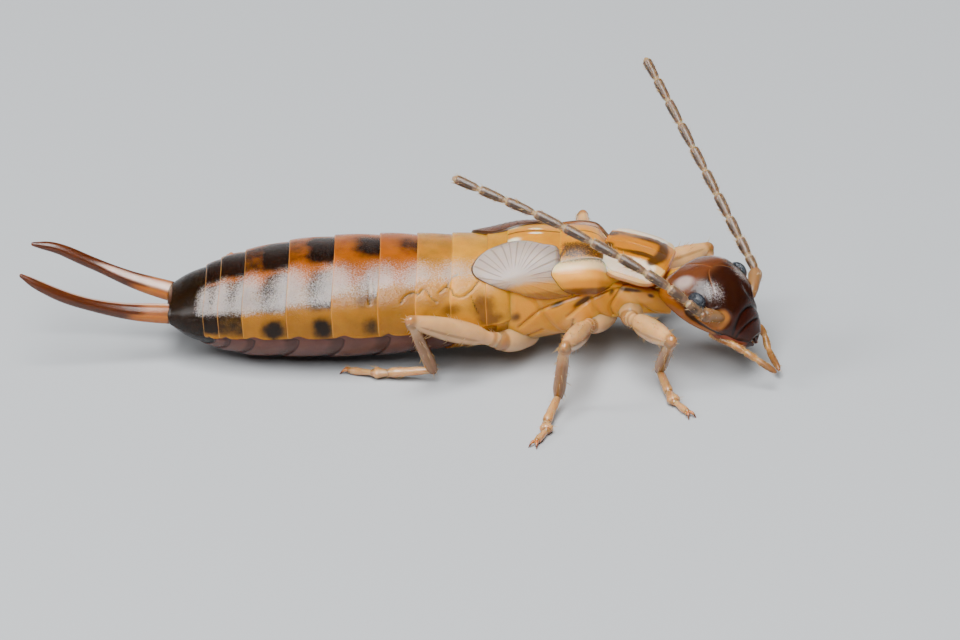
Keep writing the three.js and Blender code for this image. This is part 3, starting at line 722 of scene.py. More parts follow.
# A painted highlight sprayed over both side margins.
shield_painted_highlight = rise(off_line, 0.42, 0.55) * fall(off_line, 0.86, 0.97) * fall(along, 0.55, 0.8)
shield = shell(
    "shield",
    turned(**SHIELD)(shield_rows),
    {
        "crescent": np.clip(crescent, 0, 1) * on_top,
        "margin": margin * on_top,
        "amber": hump(off_line, 0, 0.3) * on_top,
        "bloom": shield_painted_highlight * on_top,
        "edge_line": rise(reach, 0.975, 0.99),
    },
)
# Tanned plate: amber where it is thick, dark in the crescent, and clear like horn along the rim. The
# grey-white band sprayed over both side margins is a painted highlight.
shield_cuticle = cuticle(
    "shield_cuticle",
    "#b4700e",
    [
        ("amber", "#b06c0e", 0.8),
        ("margin", "#d2a768", 0.95),
        ("bloom", "#d8cbbd", 0.7, "sprayed"),
        ("crescent", "#40240d", 0.92),
        ("edge_line", "#7a4a20", 0.7),
    ],
    rough=0.25,
    pits=1.8,
    glow=0.3,
    grain=40.0,
)
finished(shield, shield_cuticle, ["pronotum"])


# The wing pads: four thin flaps that hold the folded growing wings, a short pair over a long pair.
# Each is joined along the back and free at its round tip; the long pair is ribbed by veins that fan from
# its root.
FRONT_PAD = {
    # points of the outline and the veins' root, each a place and an angle above the side
    "outline": [(4.17, 49), (3.87, 52), (3.57, 49), (3.2, 47), (2.93, 44), (2.8, 38), (2.76, 31)]
    + [(2.82, 25), (2.97, 15), (3.17, 9), (3.45, 7), (3.75, 9), (4.03, 25)],
    "root": (3.6, 30),
    "veins": 4,
    "rib": 0.0,
    "lift": 0.12,
    "thickness": 0.12,
    # angle where it merges with the back
    "flush_from": 36,
    # how deep its front end goes under the next piece, between two places, the lower part further on
    "tucked": 0.13,
    "tucked_from": (3.62, 4.0, 0),
}
HIND_PAD = {
    "outline": [(3.02, 58), (2.61, 68), (2.21, 76), (1.91, 80), (1.66, 78), (1.42, 68), (1.29, 56)]
    + [(1.34, 46), (1.58, 36), (1.85, 26), (2.14, 17), (2.37, 10), (2.71, 6), (3.1, 6.5), (3.32, 9)],
    "root": (2.08, 29),
    "veins": 34,
    "rib": 0.006,
    "lift": 0.07,
    "thickness": 0.1,
    "flush_from": 68,
    "tucked": 0.16,
    "tucked_from": (2.86, 3.02, 0.26),
}
PAD_COLUMNS = 300
MM_PER_DEGREE = 0.018


def ring_round(corners, count):
    """A smooth closed outline through corners, evenly spaced."""
    corners = np.asarray(corners, float)
    before, after, next_after = (np.roll(corners, n, axis=0) for n in (1, -1, -2))
    t = np.linspace(0, 1, 24, endpoint=False)[None, :, None]
    p0, p1, p2, p3 = (c[:, None] for c in (before, corners, after, next_after))
    smooth = 0.5 * (2 * p1 + (p2 - p0) * t + (2 * p0 - 5 * p1 + 4 * p2 - p3) * t**2)
    smooth = (smooth + 0.5 * (3 * p1 - p0 - 3 * p2 + p3) * t**3).reshape(-1, corners.shape[1])
    smooth = np.concatenate([smooth, smooth[:1]])
    scaled = smooth * np.array([1, MM_PER_DEGREE])
    walked = np.concatenate([[0], np.cumsum(np.linalg.norm(np.diff(scaled, axis=0), axis=1))])
    wanted = np.linspace(0, walked[-1], count, endpoint=False)
    return np.stack([np.interp(wanted, walked, smooth[:, k]) for k in range(corners.shape[1])], -1)


def wing_pad(name, side, outline, root, veins, rib, lift, thickness, flush_from, tucked, tucked_from):
    """One flap. Veins are counted round its whole outline and fan from the root."""
    _, reach, top = leaf(PAD_COLUMNS, REACHES)
    rim_line = ring_round(outline, PAD_COLUMNS)
    spot = np.array(root) + reach[..., None] * (rim_line - np.array(root))[None]
    x, height = spot[..., 0], spot[..., 1]
    walk = np.arctan2((rim_line[:, 1] - root[1]) * MM_PER_DEGREE, rim_line[:, 0] - root[0])[None, :]
    phase = walk * veins + 0.8 * np.sin(5 * walk + 1) + 0.6 * np.sin(11 * walk)
    ribs = rise(np.cos(phase), 0.6, 1.0) * rise(reach, 0.16, 0.4) * fall(reach, 0.9, 0.98)
    cells = np.cos(phase * 3) * rise(reach, 0.3, 0.6) * fall(reach, 0.85, 0.97)
    puff = 0.05 * (1 - reach**2) + (0 if rib else 0.03 * (1 - reach**4))
    bead = 0.014 * hump(reach, 0.965, 0.02)
    relief = (top > 0) * (rib * ribs + 0.15 * rib * cells + bead)
    half = thickness / 2 * np.sqrt(np.clip(1 - reach**8, 0, 1))
    out = lift - thickness / 2 + puff * (top > 0) + top * half + relief
    angle, dark_from, dark_to = height, 74, 82
    if side == "left":
        # The left pads are browner over the back and merge with it further up.
        angle, dark_from, dark_to = 180 - height, flush_from - 30, flush_from + 2
        flush_from = flush_from + 10
    flush = rise(height, flush_from, flush_from + 16)
    out = out - (lift - 0.01) * flush * (top > 0) - 0.3 * lift * flush * (top <= 0)
    start, end, low_shift = tucked_from
    under_next = rise(x - low_shift * fall(height, 13, 26), start, end)
    out = out - tucked * under_next
    masks = {
        "rim": rise(reach, 0.94, 0.975) * (1 - flush) * (1 - under_next),
        "ribs": ribs,
        "gold": fall(height, 14, 34),
        "low_edge": fall(height, 11, 21) * rise(reach, 0.4, 0.75),
        "root": flush,
        # Paler over the upper part: partly the membrane's own colour, partly painted highlight.
        "cream": rise(height, 27, 40),
        "back_edge": rise(height, dark_from, dark_to) * (top >= 0),
    }
    return shell(f"{name}_{side}", on_trunk(x, angle, out), masks)


# Thin wax-bloomed membrane: greyish cream and silvery over the folded wing, golden at its lower edge. Its
# paler upper part is partly painted highlight.
front_pad_cuticle = cuticle(
    "front_pad_cuticle",
    "#d9983a",
    [
        ("gold", "#b0700e", 0.9),
        ("low_edge", "#5a3209", 0.85),
        ("cream", "#e4cba4", 0.75),
        ("root", "#2c170b", 0.85, "sprayed"),
        ("back_edge", "#3a1e0c", 0.92),
        ("rim", "#6b4016", 0.9),
    ],
    rough=0.27,
    gloss=0.3,
    pits=1.0,
    glow=0.3,
    grain=35.0,
    mottle=0.08,
)
hind_pad_cuticle = cuticle(
    "hind_pad_cuticle",
    "#9c8470",
    [
        ("cream", "#a8a09e", 0.5),
        ("ribs", "#5e4c3e", 0.5),
        ("gold", "#ac7418", 0.9),
        ("low_edge", "#6e420c", 0.55),
        ("root", "#7c5224", 0.85),
        ("back_edge", "#54290f", 0.9),
        ("rim", "#3d2410", 0.9),
    ],
    rough=0.3,
    gloss=0.3,
    pits=1.4,
    glow=0.28,
    grain=30.0,
    mottle=0.08,
)
for side in ("left", "right"):
    hind_pad = wing_pad("hind_pad", side, **HIND_PAD)
    finished(hind_pad, hind_pad_cuticle, [f"hindwing_pad_{side}"])
    front_pad = wing_pad("front_pad", side, **FRONT_PAD)
    finished(front_pad, front_pad_cuticle, [f"forewing_pad_{side}"])


# The head: one hard capsule, flatter above than below, with a pale forked seam on its crown where it
# will split at the last moult. It hangs nose down and is turned to the right on a soft neck.
# Where the head's own axes lie: forwards, to the left and up, turned by so many degrees.
HEAD = {"centre": (5.885, -0.83, 1.6), "yaw": -34.2, "pitch": 24.8, "roll": 6}
HEAD_ROWS = [
    # place along the head, half width, top, bottom
    [-0.92, 0.44, -0.2, -0.52],
    [-0.82, 0.63, 0, -0.61],
    [-0.65, 0.74, 0.2, -0.66],
    [-0.42, 0.8, 0.37, -0.69],
    [-0.1, 0.81, 0.46, -0.71],
    [0.25, 0.71, 0.43, -0.69],
    [0.5, 0.58, 0.3, -0.64],
    [0.7, 0.45, 0.12, -0.57],
    [0.92, 0.34, -0.09, -0.47],
    [1.06, 0.2, -0.24, -0.4],
]
HEAD_BACK = -0.92
HEAD_LENGTH = 1.98
HEAD_SQUARENESS = 0.96
EYE_PLACE = np.array([-0.035, 0.665, 0.1])
EYE_SIZE = np.array([0.195, 0.135, 0.2])
FORK_PLACE = -0.3
in_head = turned(**HEAD)
head_at = through(HEAD_ROWS)
x = HEAD_BACK + HEAD_LENGTH * (1 - np.cos(np.linspace(0.02, np.pi - 0.02, 190))[:, None]) / 2
turn = np.linspace(0, 2 * np.pi, 300, endpoint=False)[None, :]
width, ceiling, base = head_at(x)
swing = boxy(np.sin(turn), HEAD_SQUARENESS)
side_place = np.cos(turn) * width
aside = np.abs(side_place)
height = (ceiling + base) / 2 + swing * (ceiling - base) / 2
upper = rise(np.sin(turn), -0.05, 0.3)
fork_line = np.sqrt(np.clip(x - FORK_PLACE, 0, None) * 0.55) * 0.9
off_seam = np.where(x < FORK_PLACE, aside, np.abs(aside - fork_line))
seam = hump(off_seam, 0, 0.018) * upper * fall(x, -0.1, 0.3) * rise(x, -0.85, -0.75)


def off_centre(centre, size):
    """How far each point of the head is from a centre, in sizes of a lump along its three axes."""
    steps = [(place - middle) / half for place, middle, half in zip((x, aside, height), centre, size)]
    return np.sqrt(sum(step**2 for step in steps))


eye_far = off_centre(EYE_PLACE, (0.22, 0.24, 0.25))
socket_far = off_centre((0.5, 0.55, 0.0), (0.2, 0.25, 0.22))
face_line = hump(x, 0.66 + 0.12 * np.cos(turn) ** 2, 0.03) * rise(np.sin(turn), -0.2, 0.2)
lip_line = hump(x, 0.86, 0.022) * rise(np.sin(turn), -0.3, 0.1)
# The cheek line is painted shadow: a dark streak along a shallow groove under the feeler's root.
cheek = hump(height, -0.17 - 0.28 * x, 0.045 + 0.03 * hump(x, 0, 0.2))
cheek = cheek * rise(x, -0.22, -0.05) * rise(aside, 0.3, 0.5)
pool = hump(x, 0.42, 0.12) * hump(aside, 0.24, 0.09) * upper
crown_bulge = 0.02 * hump(x, -0.5, 0.3) * hump(aside, 0.38, 0.26) * upper
relief = -0.016 * seam - 0.008 * hump(eye_far, 1.0, 0.2) - 0.04 * hump(socket_far, 0.4, 0.5)
relief = relief + 0.02 * hump(socket_far, 1.1, 0.2) - 0.012 * face_line - 0.01 * lip_line - 0.015 * cheek
relief = relief - 0.03 * pool + crown_bulge
side_place = side_place * (1 + relief / width)
aside = np.abs(side_place)
height = height + relief * swing
head_rows = np.stack(np.broadcast_arrays(x, side_place, height), -1)
head = shell(
    "head_skin",
    in_head(head_rows),
    {
        "crown": rise(height, -0.1, 0.3) * rise(x, -0.55, 0.1),
        "face": rise(x, 0.45, 0.75),
        "seam": seam,
        "socket": hump(socket_far, 0.45, 0.6) * rise(aside, 0.25, 0.45),
        # Painted highlights: a smooth pale patch on the temple and a sprayed grey one on the brow.
        "temple": 0.9 * (hump(x, -0.47, 0.2) * hump(aside, 0.55, 0.16)) * upper,
        "bloom": 0.55 * (hump(x, 0.1, 0.24) * hump(aside, 0.4, 0.16)) * upper,
        "under": fall(height, -0.2, 0.02) * fall(x, 0.4, 0.6),
        # The lines: dark seams of the face and lip, a ring round the eye, and the cheek's painted shadow.
        "lines": np.clip(face_line + lip_line + cheek + hump(eye_far, 1.0, 0.12) * 0.4, 0, 1),
    },
)
# Hard tanned cuticle: red-brown to nearly black, polished, with small pits and a fine net of cells. The
# pale patch on the temple and the sprayed grey patch on the brow are painted highlights.
head_cuticle = cuticle(
    "head_cuticle",
    "#5a3018",
    [
        ("crown", "#230b04", 0.94),
        ("under", "#96560f", 0.95),
        ("socket", "#a8661c", 0.9),
        ("face", "#2a0a04", 0.95),
        ("temple", "#ae9e98", 0.72),
        ("bloom", "#a89c98", 0.7, "sprayed"),
        ("lines", "#120503", 0.9),
        ("seam", "#74421c", 0.75),
    ],
    rough=0.23,
    gloss=0.28,
    pits=1.8,
    glow=0.2,
    wobble=0.22,
    grain=42.0,
)
finished(head, head_cuticle, ["head"])


# The eyes: low domes of some four hundred six-sided lenses each, blue-black and bare. Each is set in the
# side of the head, inside a shallow rim, and does not move.
def mirrored(places, side):
    """Places on the left half of the head, or their mirror image on the right half."""
    return np.array(places, float) * [1, 1 if side == "left" else -1, 1]


def eye(side):
    spin = np.linspace(0, 2 * np.pi, 120, endpoint=False)[None, :]
    lean = np.linspace(0.03, np.pi - 0.03, 64)[:, None]
    ball = np.broadcast_arrays(np.cos(lean), np.sin(lean) * np.cos(spin), np.sin(lean) * np.sin(spin))
    return shell(f"eye_{side}_skin", in_head(mirrored(EYE_PLACE, side) + np.stack(ball, -1) * EYE_SIZE))


# Lens array: clear hard cuticle over dark pigment. The lenses are drawn 36 micrometres wide, about
# half as wide again as real ones, so that they show.
lens_array = cuticle(
    "lens_array", "#262c34", [], rough=0.22, pits=18.0, glow=0, grain=36.0, mottle=0.4, gloss=0.6
)
for side in ("left", "right"):
    finished(eye(side), lens_array, [f"eye_{side}"])


# The feelers: a stout first joint, a short second one that bends, then rings of soft brown cuticle,
# each a slim barrel with a narrow pale joint to the next, covered in fine hairs that lie forwards.
ANTENNAE = {
    # from the end of the first joint to the tip
    "left": [(6.64, -0.1, 1.68), (5.66, 1.66, 3.05), (4.62, 3.51, 4.41)],
    "right": [(5.6, -1.84, 1.6), (4.85, -1.62, 2.15), (3.0, -0.85, 2.95), (0.98, 0, 3.55)],
}
ANTENNA_SOCKET = (0.45, 0.54, 0.04)
ANTENNA_RINGS = [0.36, 0.42, 0.5, 0.56, 0.57, 0.57, 0.59, 0.58, 0.53, 0.5]
# Rows of a share of one ring's length and a share of its radius.
RING_PROFILE = [(0.1, 0.72), (0.2, 0.84), (0.45, 0.95), (0.8, 1.0), (0.93, 0.93), (0.985, 0.72)]
RING_PROFILE += [(1.0, 0.56)]
RING_WAIST = 0.56
RING_RADIUS = 0.098
FIRST_RING_RADIUS = 0.09


def limb(joints, radii, around=40, spacing=0.02, flat=1.0, crest=(0, 0, 1)):
    """Loops of a limb with a dome round each end, its radius read from rows of (share, radius).

    flat squeezes it across the crest. Also gives each loop's share of the length and each column's turn."""
    line, length = way_through(joints, spacing)
    radius_at = through(radii)
    lean = np.linspace(0.12, np.pi / 2, 9)[:-1]
    start, end = radius_at(0.0)[0], radius_at(1.0)[0]
    walk = np.linspace(0, length, len(line))
    places = np.concatenate([-start * np.cos(lean), walk, length + end * np.cos(lean[::-1])])
    thick = radius_at(np.clip(places / length, 0, 1))[0]
    thick[: len(lean)] *= np.sin(lean)
    thick[-len(lean) :] *= np.sin(lean[::-1])
    tangents = np.gradient(line, axis=0)
    tangents /= np.linalg.norm(tangents, axis=1)[:, None]
    on_line = np.clip(places, 0, length)
    spine = np.stack([np.interp(on_line, walk, line[:, k]) for k in range(3)], -1)
    ahead = np.stack([np.interp(on_line, walk, tangents[:, k]) for k in range(3)], -1)
    ahead /= np.linalg.norm(ahead, axis=1)[:, None]
    spine = spine + ahead * (places - on_line)[:, None]
    up = np.array(crest, float)
    ups = []
    for direction in ahead:
        up = up - direction * (up @ direction)
        up = up / np.linalg.norm(up)
        ups.append(up)
    acrosses = np.cross(ahead, ups)
    turn = np.linspace(0, 2 * np.pi, around, endpoint=False)
    section = np.sin(turn)[None, :, None] * np.array(ups)[:, None]
    section = section + flat * np.cos(turn)[None, :, None] * acrosses[:, None]
    return spine[:, None] + thick[:, None, None] * section, places[:, None] / length, turn[None, :]


# Thin brown cuticle with a silky surface, pale where a ring's thin skin folds at its joint.
ring_cuticle = cuticle(
    "ring_cuticle",
    "#66503e",
    [("joint", "#a08a68", 0.7), ("shaft", "#3a2a20", 0.85)],
    rough=0.3,
    pits=1.2,
    glow=0.1,
    wobble=0.15,
    grain=26.0,
)
scape_cuticle = cuticle(
    "scape_cuticle",
    "#7e5c3a",
    [("joint", "#54402e", 0.7), ("shaft", "#86623a", 0.6)],
    rough=0.25,
    pits=1.2,
    glow=0.2,
    wobble=0.2,
    grain=30.0,
)
for side in ("left", "right"):
    socket = in_head(mirrored(ANTENNA_SOCKET, side))
    scape_end = np.array(ANTENNAE[side][0])
    inner = socket + (scape_end - socket) * -0.1
    loops, share, turn = limb(
        [inner, (socket + scape_end) / 2 + [0, 0, 0.02], scape_end],
        [(0, 0.08), (0.2, 0.105), (0.55, 0.118), (0.85, 0.13), (0.95, 0.112), (1, 0.08)],
        around=44,
    )
    masks = {"joint": rise(share, 0.86, 0.97), "shaft": hump(share, 0.5, 0.3)}
    scape = shell(f"scape_{side}", loops, masks, hairy=True)
    finished(scape, scape_cuticle, [f"antenna_scape_{side}"])
    line, length = way_through(ANTENNAE[side], 0.01)
    scale = length / sum(ANTENNA_RINGS)
    rows = [(0.0, 0.07)]
    joints_at = []
    start = 0.0
    for number, ring in enumerate(ANTENNA_RINGS):
        end = start + ring * scale
        radius = (RING_RADIUS if number else FIRST_RING_RADIUS) * (1 - 0.1 * (start / length))
        if number:
            rows.append((start / length + 0.0015, RING_WAIST * radius))
        for place, size in RING_PROFILE:
            rows.append(((start + place * (end - start)) / length, size * radius))
        joints_at.append(end / length)
        start = end
    loops, share, turn = limb(ANTENNAE[side], rows, around=40, spacing=0.01)
    nearest = np.min(np.abs(share - np.array([0.0, *joints_at])[None, :]), axis=1)[:, None] * length
    masks = {
        "joint": 1 - rise(nearest, 0.02, 0.07),
        "shaft": rise(nearest, 0.08, 0.16) * (0.62 + 0.38 * np.cos(2 * turn)),
    }
    flagellum = shell(f"flagellum_{side}", loops, masks, hairy=True)
    finished(flagellum, ring_cuticle, [f"antenna_flagellum_{side}"])


# The mouthparts: two hard jaws that close sideways, and two pairs of soft jointed palps that feel the
# food. All are hinged to the underside of the head, near its front.
# Points from root to tip on the head's own axes. The two long palps are spread unlike.
MANDIBLE = [(0.5, 0.36, -0.4), (0.86, 0.28, -0.42), (1.1, 0.06, -0.45)]
LABIAL_PALP = [(0.6, 0.16, -0.58), (0.86, 0.2, -0.62), (1.06, 0.22, -0.6)]
MAXILLARY_PALP = {
    "left": [(0.4, 0.4, -0.6), (0.82, 0.58, -0.58), (1.01, 0.6, -0.7), (1.22, 0.5, -0.81)]
    + [(1.7, 0.2, -0.78)],
    "right": [(0.4, -0.38, -0.6), (0.92, -0.42, -0.4), (1.13, -0.38, -0.4), (1.38, -0.32, -0.43)]
    + [(1.8, -0.22, -0.48)],
}
# Palp skin is thin and untanned, like pale horn. The jaws are the hardest cuticle, nearly black at
# their tips.
palp_cuticle = cuticle(
    "palp_cuticle",
    "#8e6636",
    [("joint", "#b08850", 0.6), ("shaft", "#5e3c1a", 0.6)],
    rough=0.25,
    pits=1.0,
    glow=0.25,
    wobble=0.2,
    grain=30.0,
)
jaw_cuticle = cuticle(
    "jaw_cuticle", "#6e2c12", [("shaft", "#1c0805", 0.9)], rough=0.25, pits=1.5, glow=0.1, grain=40.0
)


def jointed(name, joints, thick, waist):
    """A palp: slim segments between its joints, each narrow where it meets the next."""
    way, length = way_through(joints, 0.01)
    at = [np.argmin(np.linalg.norm(way - np.array(j), axis=1)) / (len(way) - 1) for j in joints]
    rows = [(0.0, thick[0] * waist)]
    for number, (start, end) in enumerate(zip(at[:-1], at[1:])):
        first, last = thick[number], thick[number + 1]
        span = end - start
        tip = number == len(at) - 2
        rows.append((start + 0.18 * span, first * 0.9))
        rows.append((start + 0.7 * span, last))
        rows.append((start + 0.93 * span, last * (0.75 if tip else 0.9)))
        rows.append((end - (0.002 if not tip else 0.0), last * (0.45 if tip else waist)))
    loops, share, _ = limb(joints, rows, around=32, spacing=0.012)
    nearest = np.min(np.abs(share - np.array(at[:-1])[None, :]), axis=1)[:, None] * length
    masks = {"joint": 1 - rise(nearest, 0.015, 0.06), "shaft": rise(nearest, 0.04, 0.2)}
    return shell(name, loops, masks, hairy=True)


for side in ("left", "right"):
    loops, share, _ = limb(
        in_head(mirrored(MANDIBLE, side)), [(0, 0.17), (0.5, 0.15), (0.85, 0.09), (1, 0.035)], flat=0.7
    )
    jaw = shell(f"jaw_{side}", loops, {"shaft": rise(share, 0.6, 0.95)})
    finished(jaw, jaw_cuticle, [f"mandible_{side}"])
    for kind, joints, thick, waist in (
        ("labial_palp", mirrored(LABIAL_PALP, side), [0.06, 0.06, 0.05], 0.7),
        ("maxillary_palp", MAXILLARY_PALP[side], [0.07, 0.07, 0.066, 0.068, 0.06], 0.8),
    ):
        palp = jointed(f"{kind}_{side}_skin", in_head(joints), thick, waist)
        finished(palp, palp_cuticle, [f"{kind}_{side}"])


# The neck: a short tube of the same soft skin as the thorax, with a fold round it. It goes into the back of
# the head low down.
NECK = [(4.85, -0.1, 1.3), in_head((-0.7, 0, -0.36))]
loops, share, _ = limb(NECK, [(0, 0.33), (0.35, 0.28), (0.6, 0.31), (1, 0.3)], around=60)
neck = shell("neck_skin", loops, {"seams": 0.4 * hump(share, 0.45, 0.08)})
finished(neck, soft_cuticle, ["neck"])


# The legs: six, each of a short hip, a stout thigh, a slender shin and a three-jointed foot with two
# claws. Their skin is thin, straw-coloured and lets the light through.
LEGS = {
    # root, hip's end, knee and ankle, then the ends of the three foot joints
    "front_left": [
        [(4.3, 0.3, 1.2), (4.35, 0.92, 1.1), (5.78, 1.64, 1.32), (5.74, 0.98, 0.3)],
        [(5.92, 1.58, 0.12), (6.02, 1.9, 0.102), (6.24, 2.28, 0.08)],
    ],
    "front_right": [
        [(4.3, -0.35, 1.2), (4.25, -0.92, 1.1), (5.0, -2.26, 1.28), (4.81, -1.5, 0.3)],
        [(4.98, -2.1, 0.12), (5.08, -2.44, 0.102), (5.3, -2.8, 0.08)],
    ],
    "middle_left": [
        [(3.75, 0.45, 0.95), (3.5, 0.92, 0.95), (3.42, 2.8, 1.46), (3.3, 2.55, 0.32)],
        [(3.1, 3.28, 0.13), (3.06, 3.56, 0.102), (2.9, 3.92, 0.08)],
    ],
    "middle_right": [
        [(3.78, -0.45, 0.95), (3.5, -0.92, 0.95), (3.02, -2.98, 1.5), (2.91, -2.62, 0.32)],
        [(2.68, -3.34, 0.13), (2.68, -3.62, 0.102), (2.5, -4, 0.08)],
    ],
    "hind_left": [
        [(2.3, 0.5, 0.6), (1.83, 1.16, 0.74), (-0.28, 2.06, 0.95), (-1.92, 2.96, 0.3)],
        [(-2.66, 3.46, 0.14), (-2.88, 3.62, 0.112), (-3.3, 3.9, 0.08)],
    ],
    "hind_right": [
        [(2.3, -0.5, 0.6), (1.83, -1.16, 0.74), (0.17, -2.13, 1.62), (0.57, -1.42, 0.26)],
        [(-0.28, -1.3, 0.14), (-0.54, -1.26, 0.122), (-0.98, -1.08, 0.08)],
    ],
}
COXA_THICK = {"front": 0.25, "middle": 0.26, "hind": 0.29}
FEMUR_THICK = {"front": 0.24, "middle": 0.225, "hind": 0.235}
CLAW_SPREAD = 0.42
# Pale soft cuticle with a silky sheen; the claws are harder and brown. The shade mask browns the hips,
# shins and feet in their own tone, and darkens the thigh's underside as painted shade.
leg_cuticle = cuticle(
    "leg_cuticle",
    "#be9463",
    [("joint", "#7c4e1e", 0.7), ("shade", "#70481f", 0.85), ("streak", "#6e4a20", 0.5)],
    rough=0.19,
    gloss=0.6,
    pits=1.4,
    glow=0.3,
    wobble=0.4,
    grain=34.0,
    mottle=0.14,
)
claw_cuticle = cuticle(
    "claw_cuticle", "#a4683a", [("tip", "#4a2412", 0.9)], rough=0.25, pits=0.6, glow=0.08, grain=40.0
)
for leg, (upper_leg, foot) in LEGS.items():
    pair = leg.split("_")[0]
    root, trochanter, knee, ankle = (np.array(p) for p in upper_leg)
    thick = COXA_THICK[pair]
    hip_rows = [(0, thick), (0.5, thick), (0.85, thick * 0.8), (1, thick * 0.62)]
    loops, share, _ = limb([root, trochanter], hip_rows, around=48)
    coxa = shell(f"leg_{leg}_hip", loops, {"joint": 0.8 * rise(share, 0.85, 1.0), "shade": 0.3})
    finished(coxa, leg_cuticle, [f"leg_{leg}_coxa"])
    thick = FEMUR_THICK[pair]
    thigh_rows = [(0, 0.14), (0.07, 0.16), (0.12, 0.14), (0.3, thick * 0.9), (0.55, thick)]
    thigh_rows += [(0.8, thick * 0.82), (0.95, thick * 0.6), (1, thick * 0.53)]
    shin_way = ankle - knee
    crest = -shin_way / np.linalg.norm(shin_way)
    loops, share, turn = limb([trochanter, knee], thigh_rows, around=56, flat=0.84, crest=crest)
    masks = {
        "joint": np.maximum(0.7 * hump(share, 0.1, 0.03), rise(share, 0.9, 1.05)),
        "streak": hump(np.sin(turn), 0.1, 0.15) * rise(share, 0.15, 0.4) * fall(share, 0.85, 1.0),
        # Darker along the thigh's underside: painted shade.
        "shade": 0.6 * hump(np.sin(turn), -1, 0.7) * rise(share, 0.1, 0.3),
    }
    femur = shell(f"leg_{leg}_thigh", loops, masks, hairy=True)
    finished(femur, leg_cuticle, [f"leg_{leg}_femur"])
    loops, share, turn = limb(
        [knee, ankle],
        [(0, 0.11), (0.06, 0.128), (0.14, 0.104), (0.3, 0.112), (0.6, 0.118), (0.9, 0.114), (1, 0.09)],
        around=48,
        flat=0.9,
        crest=(1, 0, 0),
    )
    masks = {
        "joint": np.maximum(0.9 * (1 - rise(share, 0.02, 0.16)), 0.6 * rise(share, 0.9, 1)),
        "streak": hump(np.sin(2 * turn), 0.6, 0.3) * rise(share, 0.2, 0.4),
        "shade": 0.45 + 0.4 * rise(share, 0.1, 0.5),
    }
    tibia = shell(f"leg_{leg}_shin", loops, masks, hairy=True)
    finished(tibia, leg_cuticle, [f"leg_{leg}_tibia"])
    first_end, second_end, claw_base = (np.array(p) for p in foot)
    first = [(0, 0.062), (0.2, 0.074), (0.7, 0.084), (0.92, 0.088), (1, 0.064)]
    heel = [(0, 0.058), (0.4, 0.08), (0.85, 0.096), (1, 0.07)]
    last = [(0, 0.05), (0.4, 0.06), (0.8, 0.07), (1, 0.058)]
    for name, ends, radii, flat in (
        ("first", [ankle, first_end], first, 1.0),
        ("heel", [first_end, second_end], heel, 1.25),
        ("last", [second_end, claw_base], last, 1.0),
    ):
        loops, share, _ = limb(ends, radii, around=36, spacing=0.014, flat=flat)
        masks = {"joint": 0.8 * rise(share, 0.9, 1.0), "shade": 0.45}
        joint = shell(f"leg_{leg}_foot_{name}", loops, masks, hairy=True)
        finished(joint, leg_cuticle, [f"leg_{leg}_tarsus"] if name == "first" else [])
    heading = (claw_base - second_end) * [1, 1, 0]
    heading /= np.linalg.norm(heading)
    aside = np.array([-heading[1], heading[0], 0])
    for name, way in (("inner", -1), ("outer", 1)):
        claw_way = heading * math.cos(CLAW_SPREAD) + aside * math.sin(CLAW_SPREAD) * way
        bend = claw_base + claw_way * 0.11 + [0, 0, 0.01]
        tip = claw_base + claw_way * 0.2 - [0, 0, 0.068]
        claw_rows = [(0, 0.032), (0.4, 0.03), (0.8, 0.017), (1, 0.006)]
        loops, share, _ = limb([claw_base, bend, tip], claw_rows, around=18, spacing=0.01)
        claw = shell(f"leg_{leg}_claw_{name}", loops, {"tip": rise(share, 0.4, 0.9)})
        finished(claw, claw_cuticle)


# The forceps: two hard pincers at the tail, nearly straight in a young animal, smooth and coppery,
# paler at the root where they turn in their sockets, and drawn out to a blunt inturned point.
FORCEPS = {
    # along the middle of each, from inside the last ring to the tip
    "left": [(-4.2, 0.42, 0.95), (-5.1, 0.54, 1.19), (-5.9, 0.66, 1.5), (-6.55, 0.7, 1.78)]
    + [(-6.98, 0.7, 1.86)],
    "right": [(-4.2, -0.42, 0.93), (-5.3, -0.55, 1.08), (-6.2, -0.66, 1.36), (-6.8, -0.7, 1.66)]
    + [(-7.13, -0.7, 1.87)],
}
# Rows of a share of the length and a radius.
FORCEPS_ROWS = [(0, 0.19), (0.08, 0.19), (0.2, 0.178), (0.35, 0.15), (0.5, 0.125), (0.8, 0.108)]
FORCEPS_ROWS += [(0.93, 0.08), (1, 0.04)]
# A painted highlight, a pale strip along each pincer: its middle and half width in radians round the
# pincer, and the share of the length where it ends.
FORCEPS_PAINTED_GLINT = {"left": (2.3, 0.55, 0.7), "right": (1.5, 0.3, 1.2)}
# Polished cuticle, tanned a deep red-brown, that light comes through at the thin-walled root. The pale
# strip along each pincer is a painted highlight.
forceps_cuticle = cuticle(
    "forceps_cuticle",
    "#4a2009",
    [
        ("root", "#9a6038", 0.7),
        ("amber", "#a85e14", 0.8),
        ("glint", "#d2b4a4", 0.6),
        ("socket", "#3a1c10", 0.9),
    ],
    rough=0.24,
    pits=1.2,
    glow=0.2,
    wobble=0.2,
    grain=40.0,
)
for side, joints in FORCEPS.items():
    loops, share, turn = limb(joints, FORCEPS_ROWS, around=56)
    middle, half_width, faded = FORCEPS_PAINTED_GLINT[side]
    masks = {
        "root": 1 - rise(share, 0.1, 0.35),
        "amber": rise(turn, 2.7, 3.2) * (1 - rise(turn, 4.2, 4.6)) * (1 - rise(share, 0.15, 0.45)),
        # A painted highlight: a pale strip along each pincer.
        "glint": hump(turn, middle, half_width) * (1 - rise(share, faded - 0.3, faded)),
        "socket": 1 - rise(share, 0.05, 0.09),
    }
    pincer = shell(f"forceps_{side}_skin", loops, masks)
    finished(pincer, forceps_cuticle, [f"forceps_{side}"])


